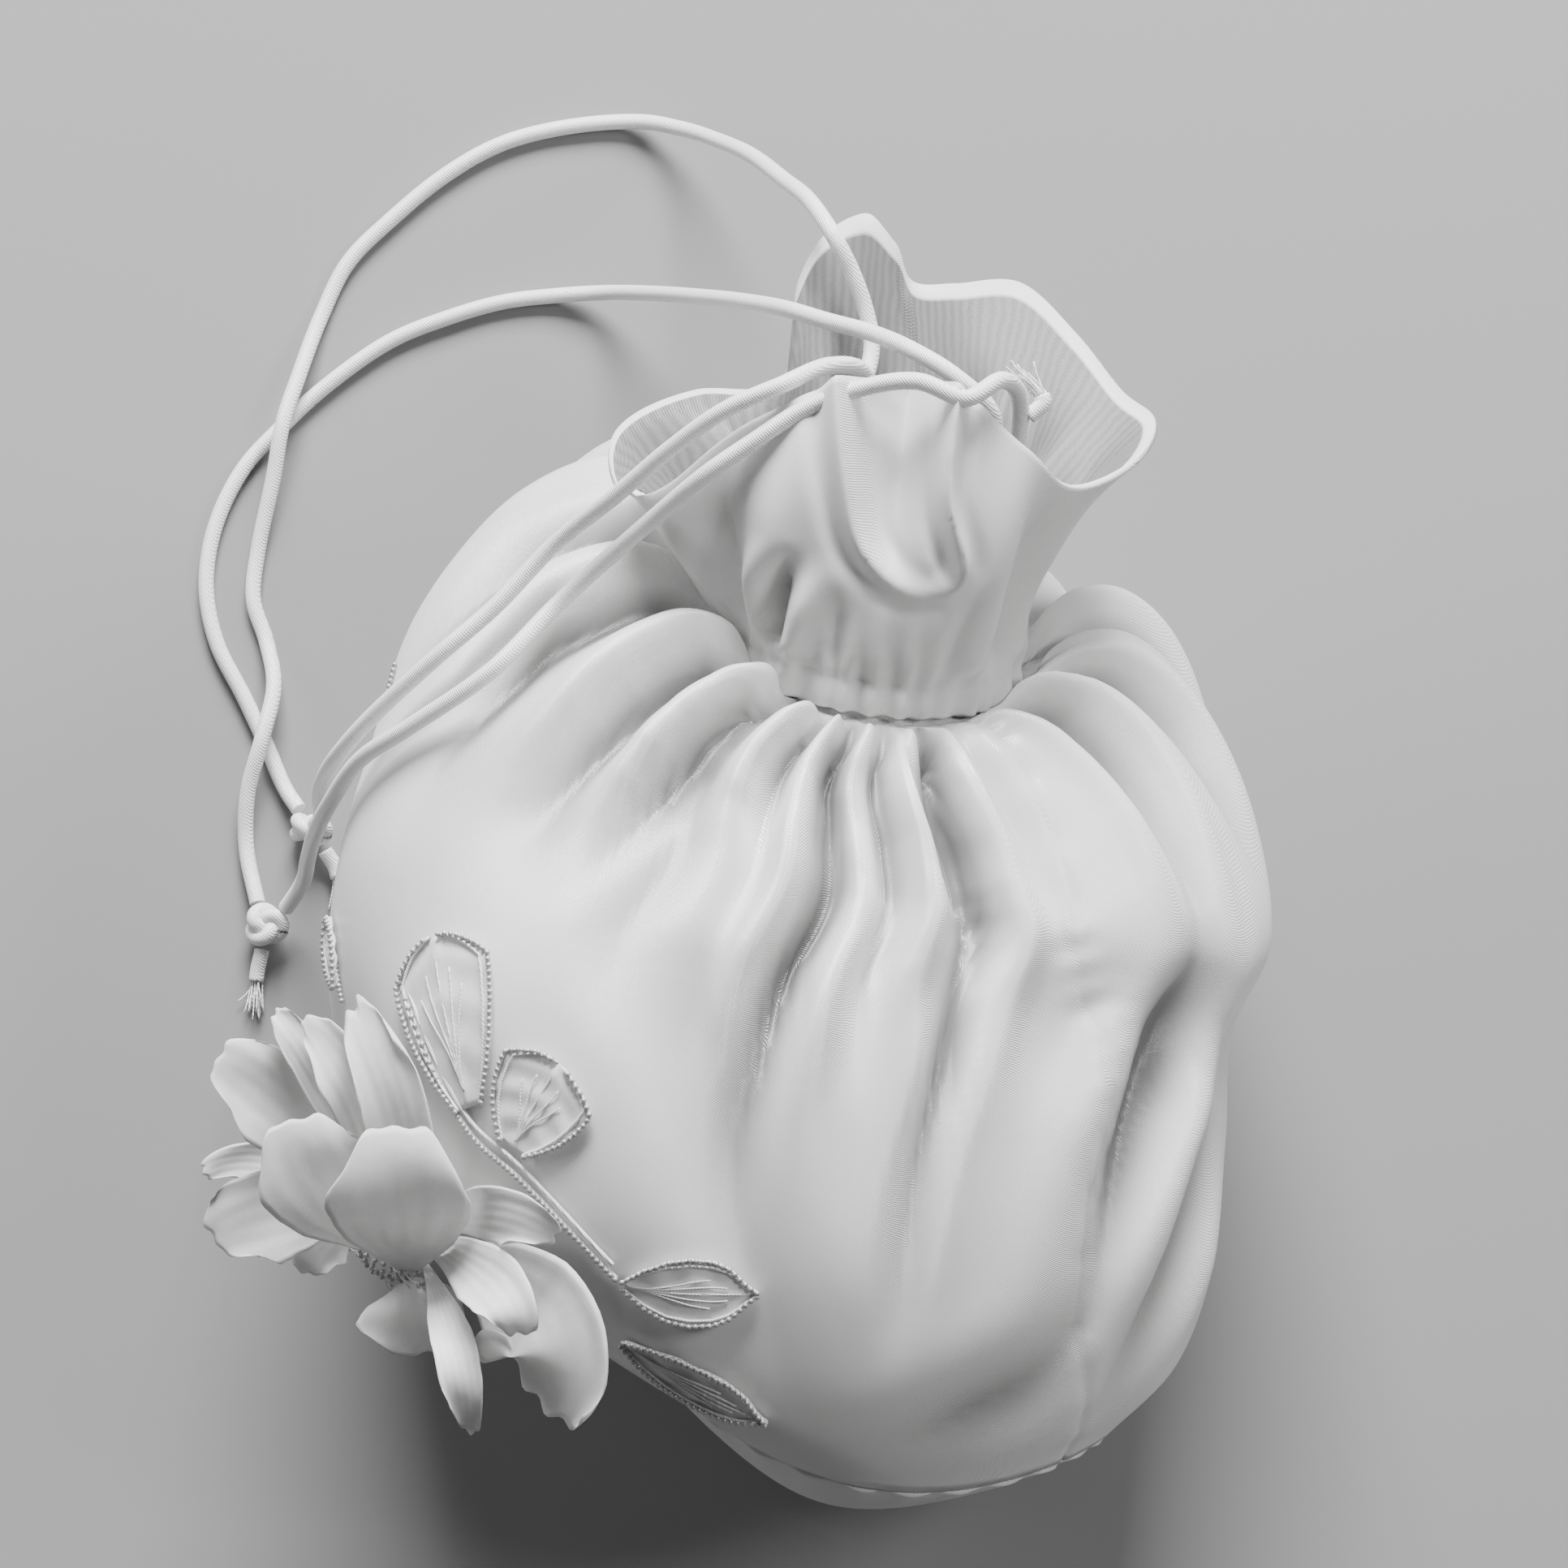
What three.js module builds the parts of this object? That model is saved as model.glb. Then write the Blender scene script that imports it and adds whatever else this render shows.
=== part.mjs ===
// A drawstring pouch of satin, lying on its back. Millimetres, +Z up, +Y from the base to the mouth.
// The origin lies on the resting surface, under the middle of the pouch.

import * as THREE from 'three';

// Driving dimensions
const BODY_WIDTH = 170;
const BODY_LENGTH = 186;
const BODY_HEIGHT = 116;
const SIDE_SEAMS = { right: 48, left: 202, rightAtBase: 26 };
const WALL = 1.6;
const GAP = 0.3;
const NECK_RADIUS = 25;
const NECK_TILT = 32;
const NECK_PLACE = { side: 0.024, away: 0.645, up: 0.724 };
const CASING_LENGTH = 7;
const CASING_WALL = 2.4;
const FRILL_HEIGHT = 60;
const FRILL_PUFF = 9;
const BASE_BULGE = 15;
const BASE_GAP = 0.7;
const GATHERS = 19;
const GATHER_DEPTH = 1.5;
const FOLD_DEPTH = 5;
const CORD_DIAMETER = 3;
const KNOT_DIAMETER = 9;
const FLOWER_RADIUS = 43;
const FLOWER_TILT = 16;
const FLOWER_AIM = 231;
const FLOWER_FACE = { lean: 10, rise: 78 };
const FLOWER_PLACE = { turn: 158, along: 0.13 };
const RECEPTACLE_RADIUS = 7;
const PETAL_THICKNESS = 0.9;
const LEAF_LENGTH = 26;
const LEAF_THICKNESS = 0.9;
const LEAF_LIFT = 0.8;
const STEM_DIAMETER = 2;
const STEM_LIFT = 0.45;

// Mesh fineness
const FRONT_SIDES = 36;
const BACK_SIDES = 40;
const BODY_ROWS = 16;
const BASE_SIDES = 84;
const FRILL_SIDES = 76;
const FRILL_ROWS = 6;
const CASING_SIDES = 76;
const BASE_RINGS = 4;
const CORD_SIDES = 8;

// The pouch wall from the base seam to the neck. Sideways values are shares of half the width,
// away values of half the length and up values of the height.
const BODY_SECTIONS = [
  { left: -0.32, leftAway: -0.58, right: 0.8, rightAway: -0.67, sideUp: 0.36, topAway: -0.89, topUp: 0.63,
    lowAway: -0.72, lowUp: 0.1 },
  { left: -0.65, leftAway: -0.49, right: 0.91, rightAway: -0.53, sideUp: 0.41, topAway: -0.81, topUp: 0.79,
    lowAway: -0.62, lowUp: 0.03 },
  { left: -0.88, leftAway: -0.32, right: 0.95, rightAway: -0.35, sideUp: 0.45, topAway: -0.6, topUp: 0.92,
    lowAway: -0.45, lowUp: -0.02 },
  { left: -0.99, leftAway: -0.1, right: 0.93, rightAway: -0.1, sideUp: 0.47, topAway: -0.3, topUp: 0.99,
    lowAway: -0.13, lowUp: -0.04 },
  { left: -1.02, leftAway: 0.14, right: 0.91, rightAway: 0.1, sideUp: 0.48, topAway: -0.04, topUp: 1,
    lowAway: 0.21, lowUp: -0.04 },
  { left: -0.99, leftAway: 0.38, right: 0.96, rightAway: 0.29, sideUp: 0.49, topAway: 0.13, topUp: 0.99,
    lowAway: 0.54, lowUp: -0.03 },
  { left: -0.92, leftAway: 0.65, right: 0.87, rightAway: 0.53, sideUp: 0.51, topAway: 0.24, topUp: 0.98,
    lowAway: 0.84, lowUp: 0.035 },
  { left: -0.77, leftAway: 0.89, right: 0.71, rightAway: 0.73, sideUp: 0.54, topAway: 0.33, topUp: 0.975,
    lowAway: 1, lowUp: 0.19 },
  { left: -0.57, leftAway: 0.98, right: 0.55, rightAway: 0.81, sideUp: 0.6, topAway: 0.4, topUp: 0.96,
    lowAway: 0.99, lowUp: 0.36 },
  { left: -0.39, leftAway: 0.85, right: 0.42, rightAway: 0.76, sideUp: 0.66, topAway: 0.44, topUp: 0.93,
    lowAway: 0.89, lowUp: 0.46 },
];

// The frill's edge round the mouth. Turn is in degrees from the right side over the front. Side, away
// and up are shares of the frill's height, from the middle of the neck; puff is a share of FRILL_PUFF.
const HEM = [
  { turn: 0, side: 0.72, away: 0.8, up: 0.07, puff: -0.4 },
  { turn: 13, side: 0.66, away: 0.6, up: 0.36, puff: -0.2 },
  { turn: 28, side: 0.51, away: 0.46, up: 0.5, puff: 0.3 },
  { turn: 52, side: 0.36, away: 0.5, up: 0.68, puff: 0.9 },
  { turn: 75, side: 0.17, away: 0.6, up: 0.76, puff: 1.1 },
  { turn: 95, side: 0.01, away: 0.64, up: 0.77, puff: 1.1 },
  { turn: 115, side: -0.2, away: 0.58, up: 0.74, puff: 1.2 },
  { turn: 138, side: -0.42, away: 0.46, up: 0.66, puff: 1.6 },
  { turn: 156, side: -0.63, away: 0.29, up: 0.48, puff: 2.1 },
  { turn: 170, side: -0.78, away: 0.27, up: 0.32, puff: 2.2 },
  { turn: 184, side: -0.84, away: 0.49, up: 0.14, puff: 1.5 },
  { turn: 202, side: -0.65, away: 0.7, up: -0.05, puff: 1 },
  { turn: 218, side: -0.39, away: 0.82, up: -0.13, puff: 0.6 },
  { turn: 236, side: -0.38, away: 1.2, up: -0.1, puff: 0.6 },
  { turn: 251, side: -0.25, away: 1.34, up: -0.07, puff: 0.6 },
  { turn: 264, side: -0.16, away: 1.28, up: -0.1, puff: 0.6 },
  { turn: 277, side: -0.08, away: 1.2, up: -0.2, puff: 0.6 },
  { turn: 293, side: 0.06, away: 1.22, up: -0.24, puff: 0.4 },
  { turn: 309, side: 0.25, away: 1.25, up: -0.2, puff: 0.1 },
  { turn: 326, side: 0.44, away: 1.09, up: -0.12, puff: -0.2 },
  { turn: 343, side: 0.6, away: 0.92, up: -0.03, puff: -0.4 },
];

// Valleys that run from the gathers down the wall. Turns are degrees round the pouch, at the neck and
// at the fold's end; end is a share of the wall's length from the base; depth is a share of FOLD_DEPTH.
const FOLDS = [
  { neckTurn: 94, endTurn: 92, end: 0.26, width: 6, depth: 1 },
  { neckTurn: 80, endTurn: 74, end: 0.38, width: 5, depth: 0.8 },
  { neckTurn: 67, endTurn: 66, end: 0.2, width: 5.5, depth: 0.75 },
  { neckTurn: 106, endTurn: 115, end: 0.34, width: 6, depth: 0.75 },
  { neckTurn: 119, endTurn: 135, end: 0.42, width: 7, depth: 0.85 },
  { neckTurn: 133, endTurn: 152, end: 0.5, width: 7, depth: 0.6 },
  { neckTurn: 148, endTurn: 172, end: 0.5, width: 8, depth: 0.6 },
  { neckTurn: 52, endTurn: 44, end: 0.12, width: 4, depth: 0.4 },
  { neckTurn: 38, endTurn: 30, end: 0.45, width: 7, depth: 0.8 },
  { neckTurn: 20, endTurn: 10, end: 0.5, width: 8, depth: 0.7 },
  { neckTurn: -6, endTurn: -14, end: 0.5, width: 9, depth: 0.6 },
  { neckTurn: -36, endTurn: -42, end: 0.62, width: 9, depth: 0.6 },
  { neckTurn: -68, endTurn: -70, end: 0.7, width: 9, depth: 0.6 },
  { neckTurn: -104, endTurn: -102, end: 0.7, width: 9, depth: 0.6 },
  { neckTurn: -138, endTurn: -134, end: 0.62, width: 9, depth: 0.6 },
  { neckTurn: -168, endTurn: -164, end: 0.55, width: 9, depth: 0.6 },
];

// Valleys in the frill. Turn and lean are degrees round the mouth at the neck and at the hem; depth is
// a share of the frill's puff, and out is where the valley is deepest.
const FRILL_FOLDS = [
  { turn: 100, lean: 22, out: 0.75, width: 12, depth: 0.55 },
  { turn: 88, lean: -26, out: 0.6, width: 9, depth: 0.5 },
  { turn: 128, lean: 4, out: 0.25, width: 8, depth: 0.45 },
  { turn: 30, lean: 6, out: 0.4, width: 10, depth: 0.4 },
];

// The flower's petals, from the back to the front. Root, middle and tip are places across the flower,
// up it and out from the bag, as shares of FLOWER_RADIUS from its seat. Width is a share of it as well,
// roll is in degrees about the petal's length, and cup is a share of the width.
const PETALS = [
  { root: [-0.128, 0.111, -0.046], middle: [-0.53, 0.3, -0.04], tip: [-0.8, 0.26, -0.01],
    width: 0.15, roll: 0, cup: 0.05 },
  { root: [-0.16, 0.067, 0.023], middle: [-0.3, -0.02, 0.06], tip: [-0.36, -0.14, 0.06],
    width: 0.21, roll: 0, cup: 0.06 },
  { root: [-0.132, 0.086, 0.077], middle: [-0.48, 0.11, 0.17], tip: [-0.74, 0.01, 0.15],
    width: 0.35, roll: 0, cup: 0.07 },
  { root: [0.022, -0.166, 0.062], middle: [0.06, -0.28, 0.17], tip: [0.07, -0.46, 0.13],
    width: 0.4, roll: 0, cup: 0.07 },
  { root: [-0.102, 0.13, 0.06], middle: [-0.43, 0.53, 0.24], tip: [-0.71, 0.75, 0.31],
    width: 0.35, roll: 0, cup: 0.08 },
  { root: [-0.065, 0.123, 0.107], middle: [-0.27, 0.63, 0.34], tip: [-0.48, 0.94, 0.34],
    width: 0.16, roll: 0, cup: 0.1 },
  { root: [-0.035, 0.081, 0.152], middle: [-0.14, 0.6, 0.48], tip: [-0.35, 0.9, 0.43],
    width: 0.21, roll: 0, cup: 0.1 },
  { root: [0.023, 0.092, 0.148], middle: [0.05, 0.5, 0.64], tip: [-0.15, 0.98, 0.52],
    width: 0.28, roll: 24, cup: 0.1 },
  { root: [-0.09, -0.022, 0.158], middle: [-0.27, 0.25, 0.45], tip: [-0.38, 0.52, 0.52],
    width: 0.44, roll: 0, cup: 0.04 },
  { root: [0.116, 0.029, 0.128], middle: [0.41, 0.16, 0.77], tip: [0.67, 0.07, 0.92],
    width: 0.22, roll: -16, cup: 0.06 },
  { root: [0.04, -0.118, 0.146], middle: [0.05, 0.16, 0.75], tip: [0.03, 0.51, 0.85],
    width: 0.51, roll: 0, cup: 0.04 },
  { root: [0.139, -0.023, 0.104], middle: [0.59, -0.27, 0.78], tip: [0.6, -0.61, 0.64],
    width: 0.53, roll: -22, cup: 0.07 },
  { root: [0.106, -0.083, 0.113], middle: [0.27, -0.36, 0.8], tip: [0.32, -0.71, 0.68],
    width: 0.16, roll: 0, cup: 0.1 },
  { root: [0.074, 0.014, 0.159], middle: [0.4, -0.09, 0.85], tip: [0.53, -0.3, 0.94],
    width: 0.24, roll: 0, cup: 0.1 },
];

// Half width of a petal or leaf, from root to tip, as shares of its widest
const PETAL_OUTLINE = [0.1, 0.38, 0.72, 0.95, 1, 0.9, 0.56];
const LEAF_OUTLINE = [0.12, 0.6, 0.9, 1, 0.94, 0.66, 0.16];

// Leaves sewn to the wall, by turn and along of root and tip; width is a share of LEAF_LENGTH.
const LEAVES = [
  { name: 'leaf_upper', turn: 130, along: 0.262, tipTurn: 133.5, tipAlong: 0.362, width: 0.64 },
  { name: 'leaf_middle', turn: 121, along: 0.245, tipTurn: 115, tipAlong: 0.3, width: 0.55 },
  { name: 'leaf_lower', turn: 108, along: 0.18, tipTurn: 90, tipAlong: 0.195, width: 0.44 },
  { name: 'leaf_base', turn: 112, along: 0.13, tipTurn: 93, tipAlong: 0.095, width: 0.36 },
  { name: 'leaf_side', turn: 163, along: 0.3, tipTurn: 167, tipAlong: 0.355, width: 0.22 },
];

const STEM_PATH = [
  { turn: 127.5, along: 0.245 },
  { turn: 123.5, along: 0.232 },
  { turn: 118, along: 0.225 },
  { turn: 112, along: 0.208 },
];

// The cords' middle lines
const CORDS = {
  cord_outer: [
    [-12.4, 67.6, 71.8], [-9.6, 66.1, 74.2], [-9, 84, 83.5], [-7.5, 104, 86], [-7, 115, 84],
    [-9, 121, 84.5], [-12.5, 127, 87],
    [-16.9, 132.5, 89.5], [-21.9, 139.3, 84.5], [-29, 149, 66], [-37, 160, 43], [-45, 168.5, 22.5],
    [-53, 174, 9], [-62, 176, 3], [-75.5, 173, 1.7], [-87.5, 167.5, 1.6], [-97, 159.5, 1.6],
    [-106, 148.5, 1.6], [-112.5, 138.5, 1.6], [-115.5, 127, 1.7], [-117, 114, 5], [-118, 103.5, 6.6],
    [-118, 93.5, 4.6], [-118.5, 79, 1.7], [-117.5, 69.5, 1.6], [-113.5, 62, 1.8], [-110, 53, 4.8],
    [-110, 42.5, 6.6], [-111, 32, 4], [-109.5, 22, 1.8], [-105.15, 11.6, 3.6],
  ],
  cord_inner: [
    [16.67, 67.78, 71.55], [13.6, 66.1, 74.2], [17, 80, 90], [19, 88, 102], [18, 93, 110],
    [15.8, 98.4, 116], [8.9, 102.7, 118],
    [1, 106.5, 116], [-6.5, 110.5, 108.5], [-15, 114, 99.5], [-22.3, 117.7, 90], [-31.2, 123.8, 70],
    [-41.8, 131.6, 42], [-52.5, 137.5, 19], [-62, 140, 6], [-71, 139, 2.3], [-81.5, 136, 1.6],
    [-91.5, 131, 1.6], [-101.5, 124.5, 1.6], [-112, 113.5, 1.6], [-118.5, 104.5, 1.6],
    [-124.5, 94.5, 1.6],
    [-127.5, 82.5, 1.6], [-127, 71, 1.6], [-123, 60.5, 1.6], [-115.5, 50.5, 1.6], [-109.5, 42, 1.6],
    [-104.5, 34.5, 2], [-101, 30.75, 3.4],
  ],
  strand_low: [
    [22.4, 58.1, 87.05], [18.2, 58.5, 86.4], [20.5, 80, 102], [21.5, 92, 114], [20.5, 99.5, 123],
    [17, 99.5, 131], [11.8, 94.5, 134],
    [3.2, 96, 134], [-6.4, 93.8, 131], [-15.9, 89, 127], [-22.2, 83.5, 125.5], [-29.5, 77.1, 122.3],
    [-38.6, 69.7, 110.8], [-52, 57.5, 95], [-61.5, 43, 96], [-74, 32.5, 89], [-82.5, 27, 80],
    [-88, 21, 66], [-92, 18.5, 46], [-94.5, 17.5, 28], [-96.5, 15, 13], [-99.3, 11.25, 6.3],
  ],
  strand_high: [
    [-17.2, 56.3, 89.9], [-13.4, 57.2, 88.9], [-12, 80, 97], [-6, 96, 103], [-6.5, 102.5, 110],
    [-12.5, 99.8, 121], [-19.4, 93.1, 128],
    [-27.9, 87.9, 126], [-35.9, 81.8, 119.5], [-44.8, 74.2, 109.5], [-54.9, 66.2, 98], [-63, 55, 94],
    [-71.5, 45, 91.5], [-82, 34.5, 81], [-88, 29, 69], [-92, 27.5, 50], [-94, 27.5, 32],
    [-95, 27.3, 17], [-96.6, 27.2, 9.9],
  ],
};
const CORD_STEPS = { cord_outer: 23, cord_inner: 22, strand_low: 18, strand_high: 17 };

const KNOTS = [
  { name: 'knot_outer', at: [-102.6, 7.6, 4.8],
    tail: [[-102.6, 3, 3.5], [-102.8, -1.5, 2.2], [-102, -8, 1.7]] },
  { name: 'knot_inner', at: [-98, 27.1, 4.8],
    tail: [[-94.6, 23.8, 3.4], [-92, 20.8, 2.2], [-89.5, 12, 1.7]] },
];
const NECK_TAIL = [[22.6, 97.3, 119.4], [24.6, 100.3, 119.8], [20.5, 104.5, 120]];

const radians = THREE.MathUtils.degToRad;
const mix = THREE.MathUtils.lerp;
const smooth = THREE.MathUtils.smoothstep;

const FINISHES = {
  satin: { color: 0xf1f1ef, roughness: 0.35 },
  organza: { color: 0xeeeeee, roughness: 0.6 },
  cord: { color: 0xf7f7f5, roughness: 0.3 },
  beads: { color: 0xc9cacc, roughness: 0.25 },
};
const finish = (name) => new THREE.MeshStandardMaterial({ metalness: 0, ...FINISHES[name] });

// The neck

const sideways = new THREE.Vector3(1, 0, 0);
const neckAxis = new THREE.Vector3(0, Math.cos(radians(NECK_TILT)), Math.sin(radians(NECK_TILT)));
const neckFront = new THREE.Vector3(0, -neckAxis.z, neckAxis.y);
const neckCentre = new THREE.Vector3(
  NECK_PLACE.side * BODY_WIDTH / 2,
  NECK_PLACE.away * BODY_LENGTH / 2,
  NECK_PLACE.up * BODY_HEIGHT,
);

function neckOutward(turn) {
  return sideways.clone().multiplyScalar(Math.cos(radians(turn)))
    .addScaledVector(neckFront, Math.sin(radians(turn)));
}

// A point round the neck, at a place along its axis
function neckPoint(turn, radius, along) {
  return neckCentre.clone().addScaledVector(neckOutward(turn), radius).addScaledVector(neckAxis, along);
}

function gather(turn) {
  return -GATHER_DEPTH * (0.5 + 0.5 * Math.cos(radians(turn) * GATHERS));
}

// The pouch wall

// The four points that each section of the pouch wall passes through
function sectionPoints(section) {
  const x = BODY_WIDTH / 2;
  const y = BODY_LENGTH / 2;
  const z = BODY_HEIGHT;
  const middle = (section.left + section.right) * 0.5 * x;
  return [
    new THREE.Vector3(section.right * x, section.rightAway * y, section.sideUp * z),
    new THREE.Vector3(middle, section.topAway * y, section.topUp * z),
    new THREE.Vector3(section.left * x, section.leftAway * y, section.sideUp * z),
    new THREE.Vector3(middle, section.lowAway * y, section.lowUp * z),
  ];
}

const neckSection = [0, 90, 180, 270].map((turn) => neckPoint(turn, NECK_RADIUS, -CASING_LENGTH / 2));
const wallSections = [...BODY_SECTIONS.map(sectionPoints), neckSection];
const meridians = [0, 1, 2, 3].map((side) => new THREE.CatmullRomCurve3(
  wallSections.map((points) => points[side]),
  false,
  'centripetal',
));

// The plain pouch wall: turn in degrees round it, along from 0 at the base seam to 1 at the neck
function plainWall(turn, along) {
  const [right, top, left, low] = meridians.map((curve) => curve.getPoint(along));
  const angle = radians(turn);
  const wide = right.clone().sub(left).multiplyScalar(Math.cos(angle) / 2);
  const high = top.clone().sub(low).multiplyScalar(Math.sin(angle) / 2);
  const across = right.clone().add(left).sub(top).sub(low).multiplyScalar(Math.cos(2 * angle) / 4);
  return right.add(top).add(left).add(low).multiplyScalar(0.25).add(wide).add(high).add(across);
}

// The wall's outward direction, which turns square to the neck's axis at the neck
function wallNormal(turn, along) {
  const low = Math.max(along - 0.01, 0);
  const high = Math.min(along + 0.01, 1);
  const round = plainWall(turn + 1, along).sub(plainWall(turn - 1, along));
  const up = plainWall(turn, high).sub(plainWall(turn, low));
  return up.cross(round).normalize().lerp(neckOutward(turn), smooth(along, 0.88, 1)).normalize();
}

// How far the folds and gathers press the wall in
function foldDepth(turn, along) {
  const reach = smooth(along, 0.55, 0.98);
  let depth = gather(turn) * reach;
  FOLDS.forEach((fold) => {
    const run = (1 - along) / (1 - fold.end);
    const middle = mix(fold.neckTurn, fold.endTurn, Math.min(run, 1));
    const away = (((turn - middle) % 360) + 540) % 360 - 180;
    const strength = (1 - smooth(run, 0.5, 1)) * (1 - smooth(along, 0.7, 0.92));
    depth -= FOLD_DEPTH * fold.depth * strength * Math.exp(-((away / fold.width) ** 2));
  });
  return depth;
}

// A point at a depth under the wall's outer face
function wallPoint(turn, along, depth) {
  const point = plainWall(turn, along);
  point.addScaledVector(wallNormal(turn, along), foldDepth(turn, along) - depth);
  point.z = Math.max(point.z, depth);
  return point;
}

// Closed skins

// A closed skin over rings of points. A ring of one point is a pole; without poles the last ring
// joins the first.
function skin(rings) {
  const starts = [];
  const points = [];
  rings.forEach((ring) => {
    starts.push(points.length);
    points.push(...ring);
  });
  const closed = rings[0].length > 1;
  const faces = [];
  const last = closed ? rings.length : rings.length - 1;
  for (let row = 0; row < last; row += 1) {
    const next = (row + 1) % rings.length;
    const sides = Math.max(rings[row].length, rings[next].length);
    for (let side = 0; side < sides; side += 1) {
      const here = (place) => starts[row] + (rings[row].length > 1 ? place % sides : 0);
      const there = (place) => starts[next] + (rings[next].length > 1 ? place % sides : 0);
      if (rings[row].length > 1) {
        faces.push(here(side), there(side + 1), here(side + 1));
      }
      if (rings[next].length > 1) {
        faces.push(here(side), there(side), there(side + 1));
      }
    }
  }
  const geometry = new THREE.BufferGeometry();
  const positions = points.flatMap((point) => [point.x, point.y, point.z]);
  geometry.setAttribute('position', new THREE.Float32BufferAttribute(positions, 3));
  geometry.setIndex(faces);
  geometry.computeVertexNormals();
  return geometry;
}

const turns = (sides) => Array.from({ length: sides }, (_, side) => (side * 360) / sides);
const steps = (count) => Array.from({ length: count + 1 }, (_, step) => step / count);
const ringOf = (sides, point) => turns(sides).map(point);

// The turn of a side seam, which swings towards the right at the base
function seamTurn(side, along) {
  const right = mix(SIDE_SEAMS.rightAtBase, SIDE_SEAMS.right, smooth(along, 0, 0.2));
  return side === 'left' ? SIDE_SEAMS.left : right;
}

// One panel of the pouch, from one side seam to the other. The room off each edge grows at the neck,
// where the wall turns sharply.
function pouchPanel(from, to, fullTurn, sides) {
  const grid = (depth) => steps(BODY_ROWS).map((along) => {
    const [start, end] = [seamTurn(from, along), seamTurn(to, along) + fullTurn];
    const room = GAP * (1.1 + 2.4 * smooth(along, 0.84, 0.98));
    const [startGap, endGap] = [start, end].map((turn) => (
      room / plainWall(turn + 0.5, along).distanceTo(plainWall(turn - 0.5, along))
    ));
    return steps(sides).map((share) => (
      wallPoint(mix(end - endGap, start + startGap, share), along, depth)
    ));
  });
  return sheet(grid(0), grid(WALL));
}

// The base panel, a round cloth that bulges out of the pouch's lower opening
function basePanel() {
  const rimPoint = (turn, depth) => {
    const end = wallPoint(turn, 0, 0);
    const away = end.clone().sub(wallPoint(turn, 0.03, 0)).normalize();
    return wallPoint(turn, 0, depth).addScaledVector(away, BASE_GAP);
  };
  const edge = ringOf(BASE_SIDES, (turn) => rimPoint(turn, 0));
  const lining = ringOf(BASE_SIDES, (turn) => rimPoint(turn, WALL));
  const middle = edge.reduce((sum, point) => sum.add(point), new THREE.Vector3()).divideScalar(BASE_SIDES);
  const quarter = BASE_SIDES / 4;
  const across = edge[0].clone().sub(edge[2 * quarter]);
  const out = edge[quarter].clone().sub(edge[3 * quarter]).cross(across).normalize().negate();
  if (out.y > 0) {
    out.negate();
  }
  const surface = (rim, thickness) => steps(BASE_RINGS).slice(1).map((share) => rim.map((point) => (
    middle.clone().lerp(point, share).addScaledVector(out, (BASE_BULGE - thickness) * (1 - share ** 2))
  )));
  const pole = (thickness) => [middle.clone().addScaledVector(out, BASE_BULGE - thickness)];
  return skin([pole(0), ...surface(edge, 0), ...surface(lining, WALL).reverse(), pole(WALL)]);
}

// The casing, a gathered band that holds the cords between the wall and the frill
function casing() {
  const half = CASING_LENGTH / 2 - GAP;
  const profile = [[-2, 1.5 - half], [-1.2, 0], [-0.4, half * 0.6], [-0.4, half]];
  const outer = profile.map(([rise, along]) => ringOf(CASING_SIDES, (turn) => (
    neckPoint(turn, NECK_RADIUS + rise + gather(turn), along)
  )));
  const inner = [half, 1.5 - half].map((along) => ringOf(CASING_SIDES, (turn) => (
    neckPoint(turn, NECK_RADIUS - CASING_WALL + gather(turn), along)
  )));
  return skin([...outer, ...inner]);
}

// The frill

// The hem's side, away, up and puff at a turn, on a smooth closed curve through the table's rows
function hemValues(turn) {
  const at = ((turn % 360) + 360) % 360;
  const later = HEM.findIndex((entry) => entry.turn > at);
  const row = later < 0 ? HEM.length - 1 : later - 1;
  const end = later < 0 ? 360 : HEM[later].turn;
  const share = (at - HEM[row].turn) / (end - HEM[row].turn);
  const near = [-1, 0, 1, 2].map((shift) => HEM[(row + shift + HEM.length) % HEM.length]);
  return ['side', 'away', 'up', 'puff'].map((key) => {
    const [a, b, c, d] = near.map((entry) => entry[key]);
    const square = 2 * a - 5 * b + 4 * c - d;
    const cube = 3 * (b - c) + d - a;
    return b + 0.5 * share * (c - a + share * (square + share * cube));
  });
}

// The plain frill: out from 0 at the casing to 1 at the hem
function plainFrill(turn, out) {
  const start = CASING_LENGTH / 2 + GAP;
  const [side, away, up, puff] = hemValues(turn);
  const root = neckPoint(turn, NECK_RADIUS, start);
  const swell = neckPoint(turn, NECK_RADIUS + FRILL_PUFF * puff, start + FRILL_HEIGHT * 0.36);
  const hem = new THREE.Vector3(side, away, up).multiplyScalar(FRILL_HEIGHT).add(neckCentre);
  return root.multiplyScalar((1 - out) ** 2)
    .addScaledVector(swell, 2 * out * (1 - out))
    .addScaledVector(hem, out * out);
}

function frillNormal(turn, out) {
  const round = plainFrill(turn + 1.5, out).sub(plainFrill(turn - 1.5, out));
  const up = plainFrill(turn, Math.min(out + 0.02, 1)).sub(plainFrill(turn, Math.max(out - 0.02, 0)));
  return up.cross(round).normalize().lerp(neckOutward(turn), 1 - smooth(out, 0, 0.2)).normalize();
}

function frillPoint(turn, out, depth) {
  let press = gather(turn) * (1 - smooth(out, 0.05, 0.5));
  FRILL_FOLDS.forEach((fold) => {
    const away = turn - fold.turn - fold.lean * out;
    const reach = Math.exp(-(((out - fold.out) / 0.3) ** 2));
    press -= FRILL_PUFF * fold.depth * reach * Math.exp(-((away / fold.width) ** 2));
  });
  return plainFrill(turn, out).addScaledVector(frillNormal(turn, out), press - depth);
}

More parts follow.
